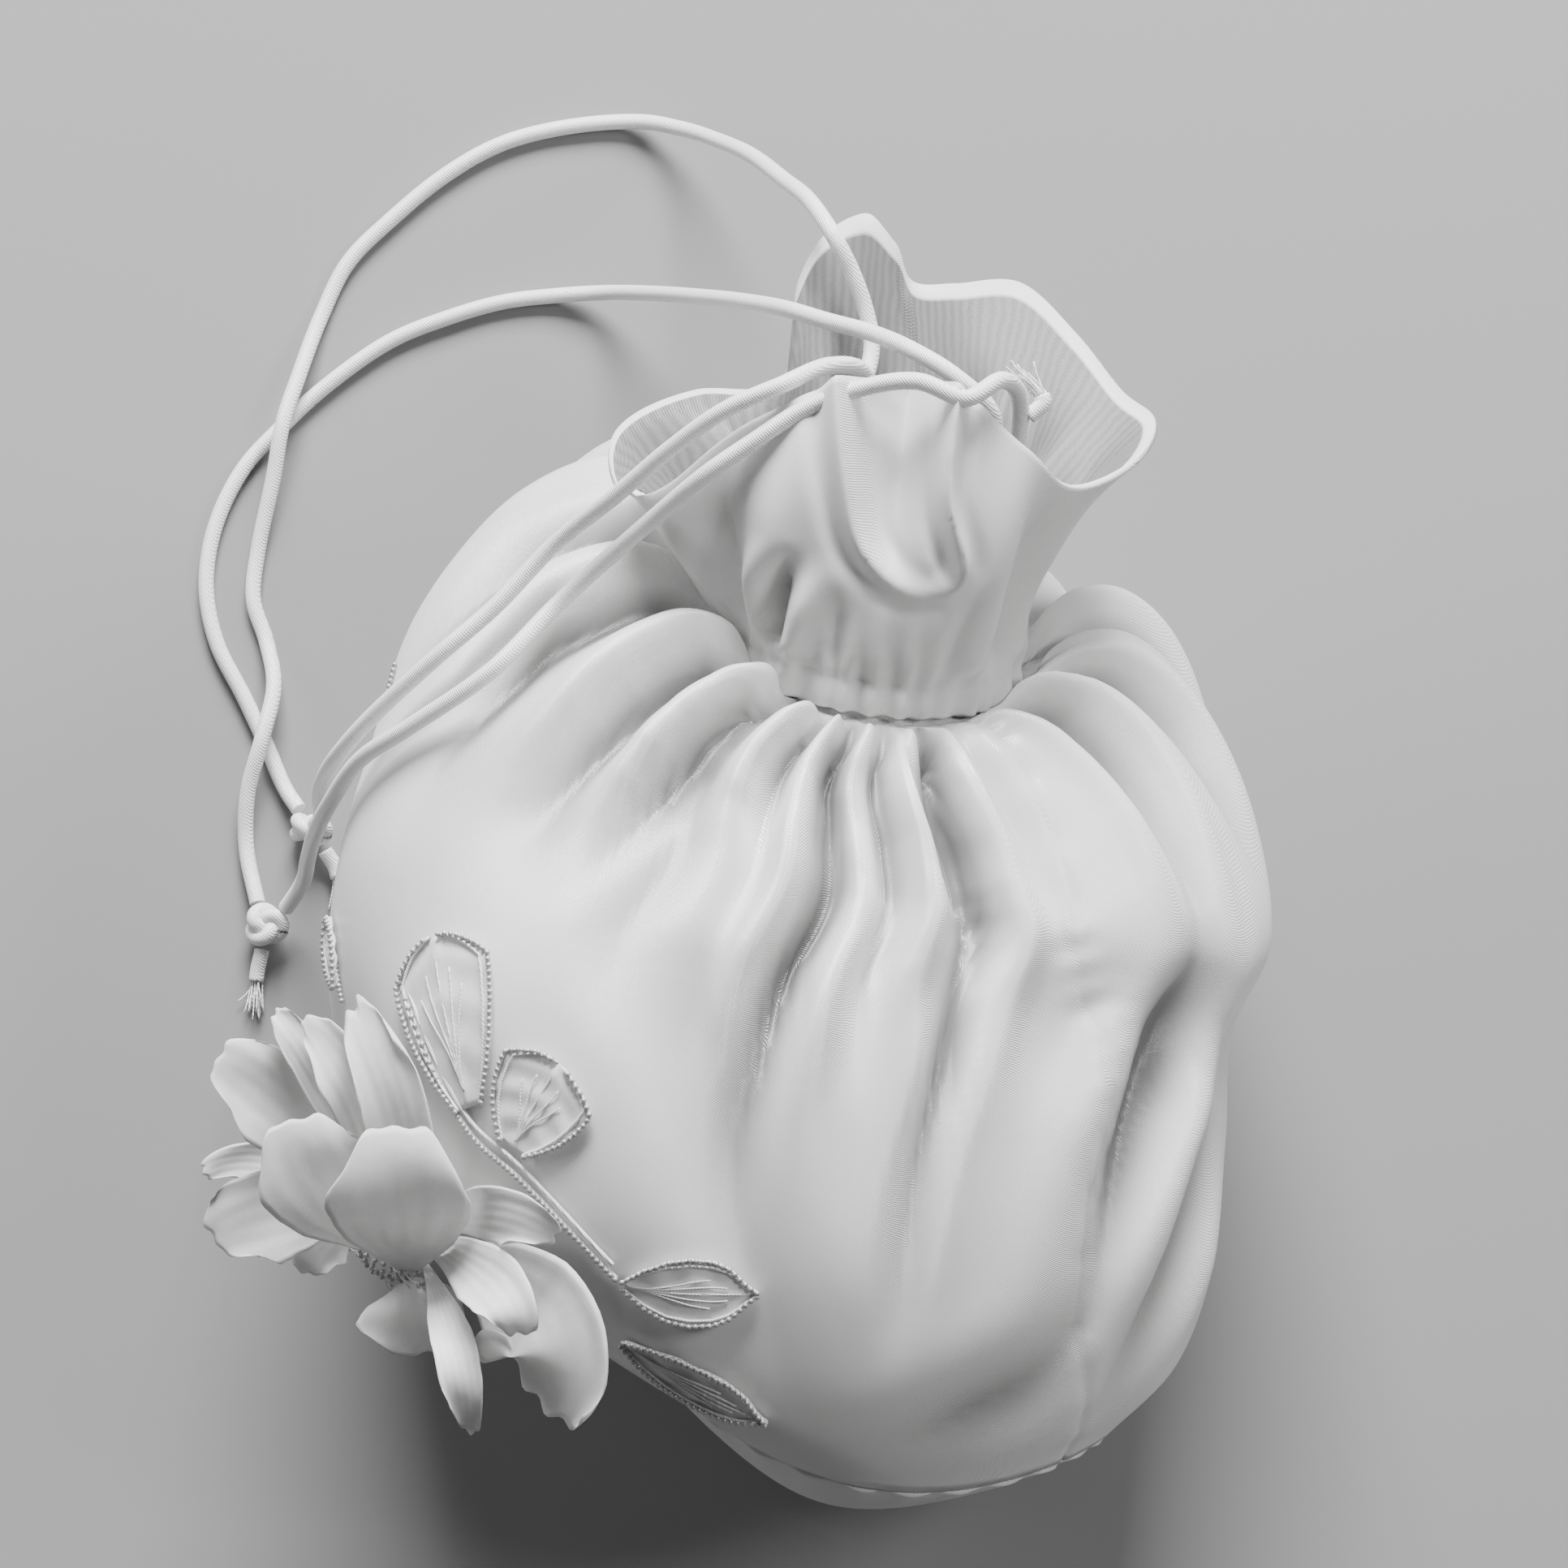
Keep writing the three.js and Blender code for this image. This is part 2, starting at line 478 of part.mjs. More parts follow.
function frill() {
  const outer = steps(FRILL_ROWS).map((out) => ringOf(FRILL_SIDES, (turn) => frillPoint(turn, out, 0)));
  const inner = steps(FRILL_ROWS).reverse().map((out) => (
    ringOf(FRILL_SIDES, (turn) => frillPoint(turn, out, WALL))
  ));
  return skin([...outer, ...inner]);
}

// Thin sheets, such as petals and leaves

// A closed thin sheet between two grids of points of the same size
function sheet(upper, lower) {
  const rim = (grid) => [
    ...grid[0],
    ...grid.slice(1, -1).map((row) => row[row.length - 1]),
    ...[...grid[grid.length - 1]].reverse(),
    ...grid.slice(1, -1).reverse().map((row) => row[0]),
  ];
  const rows = upper.length;
  const columns = upper[0].length;
  const points = [...upper.flat(), ...lower.flat()];
  const place = (layer, row, column) => layer * rows * columns + row * columns + column;
  const faces = [];
  for (let row = 0; row + 1 < rows; row += 1) {
    for (let column = 0; column + 1 < columns; column += 1) {
      [[0, 1], [1, 0]].forEach(([layer, turned]) => {
        const corner = place(layer, row, column);
        const beside = place(layer, row, column + 1);
        const above = place(layer, row + 1, column);
        const opposite = place(layer, row + 1, column + 1);
        faces.push(...(turned ? [corner, beside, opposite, corner, opposite, above]
          : [corner, opposite, beside, corner, above, opposite]));
      });
    }
  }
  const index = rim(upper.map((line, row) => line.map((_, column) => place(0, row, column))));
  index.forEach((here, step) => {
    const next = index[(step + 1) % index.length];
    const under = rows * columns;
    faces.push(here, here + under, next + under, here, next + under, next);
  });
  const geometry = new THREE.BufferGeometry();
  const positions = points.flatMap((point) => [point.x, point.y, point.z]);
  geometry.setAttribute('position', new THREE.Float32BufferAttribute(positions, 3));
  geometry.setIndex(faces);
  geometry.computeVertexNormals();
  return geometry;
}

const ACROSS = [-1, -0.5, 0, 0.5, 1];

// The flower

const flowerAim = new THREE.Vector3(
  Math.cos(radians(FLOWER_AIM)) * Math.cos(radians(FLOWER_TILT)),
  Math.sin(radians(FLOWER_AIM)) * Math.cos(radians(FLOWER_TILT)),
  Math.sin(radians(FLOWER_TILT)),
);
const flowerEdge = new THREE.Vector3(0, 0, 1).cross(flowerAim).normalize().negate();
const flowerFront = new THREE.Vector3().crossVectors(flowerEdge, flowerAim).normalize();
if (flowerFront.z < 0) {
  flowerFront.negate();
}
const seatNormal = wallNormal(FLOWER_PLACE.turn, FLOWER_PLACE.along);
const flowerCentre = wallPoint(FLOWER_PLACE.turn, FLOWER_PLACE.along, 0)
  .addScaledVector(seatNormal, GAP + RECEPTACLE_RADIUS);

function spinDirection(spin) {
  return flowerEdge.clone().multiplyScalar(Math.cos(radians(spin)))
    .addScaledVector(flowerFront, Math.sin(radians(spin)));
}

// The receptacle, a ball that the petals stand round
function receptacle() {
  const heights = [60, 30, 0, -30, -60].map(radians);
  const rings = heights.map((rise) => ringOf(20, (turn) => (
    flowerCentre.clone().addScaledVector(spinDirection(-turn), RECEPTACLE_RADIUS * Math.cos(rise))
      .addScaledVector(flowerAim, RECEPTACLE_RADIUS * Math.sin(rise))
  )));
  const pole = (length) => [flowerCentre.clone().addScaledVector(flowerAim, length)];
  return skin([pole(RECEPTACLE_RADIUS), ...rings, pole(-RECEPTACLE_RADIUS)]);
}

// The directions across the flower, up it and out from the bag
const [lean, rise] = [radians(FLOWER_FACE.lean), radians(FLOWER_FACE.rise)];
const faceAcross = new THREE.Vector3(Math.cos(lean), Math.sin(lean), 0);
const faceOut = new THREE.Vector3(faceAcross.y, -faceAcross.x, 0).multiplyScalar(Math.cos(rise))
  .setZ(Math.sin(rise));
const faceUp = new THREE.Vector3().crossVectors(faceOut, faceAcross);

function flowerPlace([across, up, out]) {
  return flowerCentre.clone().addScaledVector(faceAcross, across * FLOWER_RADIUS)
    .addScaledVector(faceUp, up * FLOWER_RADIUS).addScaledVector(faceOut, out * FLOWER_RADIUS);
}

// A petal: a sheet along a smooth line through its root, middle and tip
function petal(row) {
  const [root, middle, tip] = [row.root, row.middle, row.tip].map(flowerPlace);
  const width = row.width * FLOWER_RADIUS;
  const grid = (depth) => PETAL_OUTLINE.map((share, step) => {
    const run = step / (PETAL_OUTLINE.length - 1);
    const at = (x) => root.clone().multiplyScalar(2 * x * x - 3 * x + 1)
      .addScaledVector(middle, 4 * x - 4 * x * x).addScaledVector(tip, 2 * x * x - x);
    const along = at(run + 0.02).sub(at(run - 0.02)).normalize();
    const flat = new THREE.Vector3().crossVectors(along, faceOut).normalize();
    const high = new THREE.Vector3().crossVectors(flat, along);
    const side = flat.clone().multiplyScalar(Math.cos(radians(row.roll)))
      .addScaledVector(high, Math.sin(radians(row.roll)));
    const face = new THREE.Vector3().crossVectors(side, along);
    return ACROSS.map((across) => at(run - 0.13 * across ** 2 * run ** 2)
      .addScaledVector(side, (across * share * width) / 2)
      .addScaledVector(face, width * row.cup * share * across ** 2 - depth));
  });
  return sheet(grid(0), grid(PETAL_THICKNESS));
}

// Leaves and stem on the wall

// A point on the wall, moved sideways along it by a length, at a lift over its face
function besideOnWall(turn, along, sideDirection, distance, lift) {
  const perTurn = plainWall(turn + 1, along).sub(plainWall(turn - 1, along)).multiplyScalar(0.5);
  const perAlong = plainWall(turn, along + 0.01).sub(plainWall(turn, along - 0.01)).multiplyScalar(50);
  const [a, b, d] = [perTurn.dot(perTurn), perTurn.dot(perAlong), perAlong.dot(perAlong)];
  const [p, q] = [sideDirection.dot(perTurn) * distance, sideDirection.dot(perAlong) * distance];
  const scale = a * d - b * b;
  return wallPoint(turn + (p * d - q * b) / scale, along + (q * a - p * b) / scale, -lift);
}

function leaf(row) {
  const grid = (lift) => LEAF_OUTLINE.map((share, step) => {
    const run = step / (LEAF_OUTLINE.length - 1);
    const turn = mix(row.turn, row.tipTurn, run);
    const along = mix(row.along, row.tipAlong, run);
    const ahead = plainWall(mix(row.turn, row.tipTurn, run + 0.05), mix(row.along, row.tipAlong, run + 0.05));
    const direction = ahead.sub(plainWall(turn, along)).normalize();
    const side = new THREE.Vector3().crossVectors(direction, wallNormal(turn, along)).normalize();
    return ACROSS.map((across) => (
      besideOnWall(turn, along, side, (across * share * row.width * LEAF_LENGTH) / 2, lift)
    ));
  });
  return sheet(grid(LEAF_LIFT + LEAF_THICKNESS), grid(LEAF_LIFT));
}

// Round bars

// A tube of flat sides along a smooth line
function tube(points, diameter, pieces, sides) {
  const section = new THREE.Shape(turns(sides).map((turn) => new THREE.Vector2(
    (Math.cos(radians(turn)) * diameter) / 2,
    (Math.sin(radians(turn)) * diameter) / 2,
  )));
  const path = new THREE.CatmullRomCurve3(points, false, 'centripetal');
  return new THREE.ExtrudeGeometry(section, { steps: pieces, extrudePath: path });
}

const vectors = (points) => points.map((point) => new THREE.Vector3(...point));

function stem() {
  const points = STEM_PATH.map((point) => (
    wallPoint(point.turn, point.along, -STEM_LIFT - STEM_DIAMETER / 2)
  ));
  return tube(points, STEM_DIAMETER, 8, 8);
}

// A knot: a ball with the ridges of its crossing turns
function knot(centre) {
  const rows = steps(8).slice(1, -1);
  const place = (turn, share) => {
    const rise = Math.PI * share;
    const ridge = 1 + 0.11 * Math.cos(radians(turn) * 3 + rise * 2);
    const radius = (KNOT_DIAMETER / 2) * ridge * 0.92;
    return new THREE.Vector3(
      centre.x + radius * Math.sin(rise) * Math.cos(radians(turn)),
      centre.y - radius * Math.sin(rise) * Math.sin(radians(turn)),
      centre.z - radius * Math.cos(rise),
    );
  };
  const poles = [[place(0, 0)], [place(0, 1)]];
  return skin([poles[0], ...rows.map((share) => ringOf(14, (turn) => place(turn, share))), poles[1]]);
}

// The whole bag

const reticule = new THREE.Group();

function add(name, geometry, finishName) {
  const mesh = new THREE.Mesh(geometry, finish(finishName));
  mesh.name = name;
  reticule.add(mesh);
}

add('pouch_front', pouchPanel('right', 'left', 0, FRONT_SIDES), 'satin');
add('pouch_back', pouchPanel('left', 'right', 360, BACK_SIDES), 'satin');
add('base_panel', basePanel(), 'satin');
add('casing', casing(), 'satin');
add('frill', frill(), 'satin');
add('flower_receptacle', receptacle(), 'beads');
PETALS.forEach((row, count) => add(`petal_${String(count + 1).padStart(2, '0')}`, petal(row), 'organza'));
LEAVES.forEach((row) => add(row.name, leaf(row), 'organza'));
add('stem', stem(), 'beads');
Object.entries(CORDS).forEach(([name, points]) => (
  add(name, tube(vectors(points), CORD_DIAMETER, CORD_STEPS[name], CORD_SIDES), 'cord')
));
KNOTS.forEach((row) => {
  add(row.name, knot(new THREE.Vector3(...row.at)), 'cord');
  add(row.name.replace('knot', 'tail'), tube(vectors(row.tail), CORD_DIAMETER, 4, CORD_SIDES), 'cord');
});
add('tail_neck', tube(vectors(NECK_TAIL), CORD_DIAMETER, 4, CORD_SIDES), 'cord');

export default reticule;
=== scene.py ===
"""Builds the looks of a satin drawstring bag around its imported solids."""

import math
import bpy
import numpy as np
from bpy.props import FloatProperty, FloatVectorProperty, PointerProperty
from mathutils import Matrix, Vector


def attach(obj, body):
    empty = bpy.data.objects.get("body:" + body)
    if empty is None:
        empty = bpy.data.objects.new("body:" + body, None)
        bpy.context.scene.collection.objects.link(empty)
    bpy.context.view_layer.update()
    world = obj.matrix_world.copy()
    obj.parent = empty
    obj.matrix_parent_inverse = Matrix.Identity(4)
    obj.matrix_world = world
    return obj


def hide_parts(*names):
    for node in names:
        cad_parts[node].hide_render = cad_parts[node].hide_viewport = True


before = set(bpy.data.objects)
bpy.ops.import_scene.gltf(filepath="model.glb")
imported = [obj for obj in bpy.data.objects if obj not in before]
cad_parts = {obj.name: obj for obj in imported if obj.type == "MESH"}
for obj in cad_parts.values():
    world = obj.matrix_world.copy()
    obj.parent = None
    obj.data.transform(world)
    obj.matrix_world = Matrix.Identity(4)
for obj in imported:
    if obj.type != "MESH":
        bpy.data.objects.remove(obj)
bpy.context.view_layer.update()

bl_info = {
    "name": "Satin Drawstring Bag",
    "version": (1, 0, 0),
    "blender": (4, 5, 0),
    "location": "3D View > Sidebar > Bag",
    "description": "Makes the cloth, cords, flower and beads of a satin drawstring bag",
    "category": "Mesh",
}

# Sizes of the bag, in millimetres, as the solids have them
WIDTH = 170
LENGTH = 186
HEIGHT = 116
NECK_RADIUS = 25
NECK_TILT = math.radians(32)
NECK_AXIS = np.array([0, math.cos(NECK_TILT), math.sin(NECK_TILT)])
NECK_CENTRE = np.array([0.024 * WIDTH / 2, 0.645 * LENGTH / 2, 0.724 * HEIGHT])
CASING = 7
FRILL_HEIGHT = 60
FRILL_PUFF = 9
FRILL_CLOTH = 1.2
FLOWER_RADIUS = 43
RECEPTACLE_RADIUS = 7
LEAF_LENGTH = 26
LEAF_LIFT = 1.1
LEAF_CLOTH = 0.4
BASE_RISE = 14.4
BASE_TUCK = 0.7
BASE_CLOTH = 1.3
KNOT_RADIUS = 1.4
TAIL_RADIUS = 1.45
SOLID_GAP = 0.3

# The gathers and small pleats at the neck, and the share along the wall where they are counted
GATHERS = 19
PLEATS = 34
PLEAT_START = 0.84
PLEAT_SEED = 5
AT_GATHERS = 0.98

# A fold: where its depth rises and fades along its line, and the ridge beside its valley, as shares
FOLD_RISE = 0.4
FOLD_FADE = 0.45
RIDGE_PLACE = 1.9
RIDGE_HEIGHT = 0.45

# The gathers' depth, the pressed seam and its puckers, in millimetres
GATHER_DEPTH = 0.75
SEAM_DEPTH = 0.55
SEAM_WIDTH = 0.9
PUCKER_HEIGHT = 0.22
PUCKER_WIDTH = 4

# Slow waves of the wall: height, waves round it, slant along it and start
SOFT_WAVES = [(0.5, 3, 9, 0), (0.5, 5, -14, 1), (0.25, 8, 21, 2)]

# Millimetres to a degree round each cloth and to its whole way along, which the folds' widths use
WALL_PER_TURN = 1.25
WALL_PER_ALONG = 190
FRILL_PER_TURN = 0.62
FRILL_PER_ALONG = 58

# Points round each cloth and rows along it
POUCH_SIDES = 320
POUCH_ROWS = 120
POUCH_LINING_ROWS = 72
BASE_SIDES = 240
CASING_SIDES = 228
FRILL_SIDES = 300
FRILL_ROWS = 44
PETAL_ROWS = 29
PETAL_COLUMNS = 21
LEAF_ROWS = 29
LEAF_COLUMNS = 17

# Where the frill's lining, and the shade painted on it, starts at the hem, is full and ends, as shares of the
# way round its cloth
LINING_PAINTED_SHADE_EDGE = 0.618
LINING_PAINTED_SHADE_FULL = 0.621
LINING_PAINTED_SHADE_END = 0.93

# The flower's seat on the wall, the way it faces, its beads and its threads
FLOWER_TURN = 158
FLOWER_ALONG = 0.13
FLOWER_HEADING = math.radians(231)
FLOWER_RISE = math.radians(16)
GOLDEN_ANGLE = 2.399963
SEAT_BEADS = 64
STAMENS = 46

# The photograph's view, which the petals' directions follow too
VIEW_RISE = math.radians(78)
VIEW_LEAN = math.radians(10)
VIEW_TARGET = (-0.0095, 0.0396, 0.06)
VIEW_DISTANCE = 1.0
LENS = 128.5
SENSOR = 36

# The lights: name, place, size and power
LIGHTS = [
    ("window", (-0.2, 1.2, 0.9), 0.75, 86),
    ("fill", (0.75, 0.25, 0.95), 0.3, 7),
    ("left", (-1.1, 0.2, 0.5), 0.5, 4),
]
LIGHT_AIM = (0, 0.03, 0.05)

# The pouch wall's sections from the base seam to the neck, as shares of half the width, half the
# length and the height: left, left away, right, right away, side up, top away, top up, low away, low up
SECTIONS = [
    (-0.32, -0.58, 0.8, -0.67, 0.36, -0.89, 0.63, -0.72, 0.1),
    (-0.65, -0.49, 0.91, -0.53, 0.41, -0.81, 0.79, -0.62, 0.03),
    (-0.88, -0.32, 0.95, -0.35, 0.45, -0.6, 0.92, -0.45, -0.02),
    (-0.99, -0.1, 0.93, -0.1, 0.47, -0.3, 0.99, -0.13, -0.04),
    (-1.02, 0.14, 0.91, 0.1, 0.48, -0.04, 1, 0.21, -0.04),
    (-0.99, 0.38, 0.96, 0.29, 0.49, 0.13, 0.99, 0.54, -0.03),
    (-0.92, 0.65, 0.87, 0.53, 0.51, 0.24, 0.98, 0.84, 0.035),
    (-0.77, 0.89, 0.71, 0.73, 0.54, 0.33, 0.975, 1, 0.19),
    (-0.57, 0.98, 0.55, 0.81, 0.6, 0.4, 0.96, 0.99, 0.36),
    (-0.39, 0.85, 0.42, 0.76, 0.66, 0.44, 0.93, 0.89, 0.46),
]

# The frill's edge: turn, then side, away and up as shares of its height from the middle of the neck, and
# how far it swells as a share of its puff
HEM = [
    (0, 0.72, 0.8, 0.07, -0.4), (13, 0.66, 0.6, 0.36, -0.2), (28, 0.51, 0.46, 0.5, 0.3),
    (52, 0.36, 0.5, 0.68, 0.9), (75, 0.17, 0.6, 0.76, 1.1), (95, 0.01, 0.64, 0.77, 1.1),
    (115, -0.2, 0.58, 0.74, 1.2), (138, -0.42, 0.46, 0.66, 1.6), (156, -0.63, 0.29, 0.48, 2.1),
    (170, -0.78, 0.27, 0.32, 2.2), (184, -0.84, 0.49, 0.14, 1.5), (202, -0.65, 0.7, -0.05, 1),
    (218, -0.39, 0.82, -0.13, 0.6), (236, -0.38, 1.2, -0.1, 0.6), (251, -0.25, 1.34, -0.07, 0.6),
    (264, -0.16, 1.28, -0.1, 0.6), (277, -0.08, 1.2, -0.2, 0.6), (293, 0.06, 1.22, -0.24, 0.4),
    (309, 0.25, 1.25, -0.2, 0.1), (326, 0.44, 1.09, -0.12, -0.2), (343, 0.6, 0.92, -0.03, -0.4),
]

# Folds of the pouch: depth and width in millimetres, then their turn and share along the wall
POUCH_FOLDS = [
    (11, 3.4, [(89.5, 0.985), (87, 0.57), (87, 0.43), (90, 0.33), (95, 0.2)]),
    (9, 3, [(79, 0.98), (80, 0.53), (77, 0.3)]),
    (10, 3.6, [(66, 0.985), (70, 0.56), (66.5, 0.42), (66, 0.25)]),
    (4.5, 2.6, [(65, 0.42), (67, 0.35), (70, 0.27), (74, 0.14)]),
    (9, 3.2, [(97.5, 0.98), (95, 0.71), (97, 0.4)]),
    (5, 5, [(106, 0.97), (104.5, 0.6), (111, 0.3)]),
    (8, 4, [(112, 0.98), (109, 0.64), (117, 0.4)]),
    (9, 5, [(124, 0.97), (119, 0.7), (127, 0.42)]),
    (5.5, 6, [(136, 0.97), (138, 0.7), (150, 0.4)]),
    (5.5, 6, [(150, 0.97), (158, 0.72), (175, 0.45)]),
    (5, 2.6, [(74, 0.98), (74, 0.78), (73, 0.56)]),
    (4.5, 2.6, [(84, 0.98), (83.5, 0.74), (83, 0.5)]),
    (3.4, 3.2, [(60, 0.97), (61, 0.76), (60, 0.5)]),
    (6, 4.5, [(41, 0.97), (35, 0.72), (31, 0.4)]),
    (6.5, 5, [(27, 0.97), (20, 0.8), (6, 0.5)]),
    (7, 7, [(33, 0.55), (31, 0.38), (40, 0.25), (46, 0.12)]),
    (4.5, 6, [(10, 0.34), (22, 0.25), (32, 0.15), (40, 0.04)]),
    (3, 6, [(84, 0.04), (64, 0.1), (50, 0.14), (34, 0.24)]),
    (3, 8, [(100, 0.44), (94, 0.3), (86, 0.06)]),
    (5, 8, [(-6, 0.95), (-14, 0.45)]),
    (5, 9, [(-36, 0.95), (-42, 0.55)]),
    (5, 9, [(-68, 0.95), (-70, 0.6)]),
    (5, 9, [(-104, 0.95), (-102, 0.6)]),
    (5, 9, [(-138, 0.95), (-134, 0.55)]),
    (5, 9, [(-168, 0.95), (-164, 0.5)]),
]
SEAM = [(51, 0.97), (51.5, 0.81), (56.5, 0.5), (45, 0.38), (42, 0.31), (45, 0.26), (44.5, 0.17), (34, 0)]

# Folds of the frill in the same way: a minus depth is a ridge
FRILL_FOLDS = [
    (6, 6, [(97, 0.98), (92, 0.7), (86, 0.3)]),
    (-3.4, 2, [(114, 1), (106, 0.72), (97, 0.5), (84, 0.4), (70, 0.38)]),
    (-3.6, 1.8, [(80, 1), (76, 0.72), (66, 0.52), (66, 0.44), (84, 0.36)]),
    (7, 3.2, [(126, 0.1), (123, 0.3), (118, 0.5)]),
    (4, 5, [(140, 0.05), (143, 0.9)]),
    (1.6, 3, [(58, 0.04), (56, 0.5)]),
    (1.6, 4, [(103, 0.04), (101, 0.4)]),
    (5, 5, [(32, 0.04), (36, 1)]),
    (4, 6, [(-20, 0.04), (-22, 1)]),
    (4, 6, [(-52, 0.04), (-46, 1)]),
    (4, 6, [(-88, 0.04), (-86, 1)]),
    (4, 5, [(-120, 0.04), (-118, 1)]),
    (4, 5, [(-152, 0.04), (-156, 1)]),
]

# The frill's lower edge, hung over the casing: rise from the neck's radius and place along its axis
FRILL_HANG = [(-0.3, 3.7), (0, 1), (0.1, -1.5), (1, -1.9), (1.4, -1.2), (1.7, 0.6), (1.3, 2.6)]

# The petals from the back to the front: root, middle and tip across the flower, up it and out from the
# bag, and the width, all as shares of the flower's radius, then roll in degrees, cup and edge waves
PETALS = [
    ((-0.128, 0.111, -0.046), (-0.53, 0.3, -0.04), (-0.8, 0.26, -0.01), 0.15, 0, 0.05, 1),
    ((-0.16, 0.067, 0.023), (-0.3, -0.02, 0.06), (-0.36, -0.14, 0.06), 0.21, 0, 0.06, 2),
    ((-0.132, 0.086, 0.077), (-0.48, 0.11, 0.17), (-0.74, 0.01, 0.15), 0.35, 0, 0.07, 2),
    ((0.022, -0.166, 0.062), (0.06, -0.28, 0.17), (0.07, -0.46, 0.13), 0.4, 0, 0.07, 2),
    ((-0.102, 0.13, 0.06), (-0.43, 0.53, 0.24), (-0.71, 0.75, 0.31), 0.35, 0, 0.08, 2),
    ((-0.065, 0.123, 0.107), (-0.27, 0.63, 0.34), (-0.48, 0.94, 0.34), 0.16, 0, 0.1, 1),
    ((-0.035, 0.081, 0.152), (-0.14, 0.6, 0.48), (-0.35, 0.9, 0.43), 0.21, 0, 0.1, 2),
    ((0.023, 0.092, 0.148), (0.05, 0.5, 0.64), (-0.15, 0.98, 0.52), 0.28, 24, 0.1, 2),
    ((-0.09, -0.022, 0.158), (-0.27, 0.25, 0.45), (-0.38, 0.52, 0.52), 0.44, 0, 0.04, 2),
    ((0.116, 0.029, 0.128), (0.41, 0.16, 0.77), (0.67, 0.07, 0.92), 0.22, -16, 0.06, 2),
    ((0.04, -0.118, 0.146), (0.05, 0.16, 0.75), (0.03, 0.51, 0.85), 0.51, 0, 0.04, 2),
    ((0.139, -0.023, 0.104), (0.59, -0.27, 0.78), (0.6, -0.61, 0.64), 0.53, -22, 0.07, 3),
    ((0.106, -0.083, 0.113), (0.27, -0.36, 0.8), (0.32, -0.71, 0.68), 0.16, 0, 0.1, 1),
    ((0.074, 0.014, 0.159), (0.4, -0.09, 0.85), (0.53, -0.3, 0.94), 0.24, 0, 0.1, 2),
]
PETAL_OUTLINE = [0.12, 0.46, 0.84, 1.04, 1.1, 1.04, 0.84]
LEAF_OUTLINE = [0.12, 0.6, 0.9, 1, 0.94, 0.66, 0.16]
ROUND_OUTLINE = [0.3, 0.6, 0.82, 0.96, 1.04, 1.06, 1.06]

# The leaves: root turn and along, tip turn and along, width as a share of their length, and their outline
LEAVES = {
    "leaf_upper": (128, 0.258, 134.5, 0.366, 0.76, ROUND_OUTLINE),
    "leaf_middle": (121.5, 0.243, 114, 0.303, 0.7, ROUND_OUTLINE),
    "leaf_lower": (108, 0.18, 90, 0.195, 0.44, LEAF_OUTLINE),
    "leaf_base": (112, 0.13, 93, 0.095, 0.36, LEAF_OUTLINE),
    "leaf_side": (163, 0.3, 167, 0.355, 0.22, LEAF_OUTLINE),
}
STEM = [(140.5, 0.325), (133.5, 0.268), (128.5, 0.24), (121.5, 0.225), (115, 0.205), (109, 0.182)]
BEAD_ROWS = [((168, 0.35), (164, 0.32)), ((164, 0.32), (162, 0.29)), ((174, 0.56), (172, 0.53))]

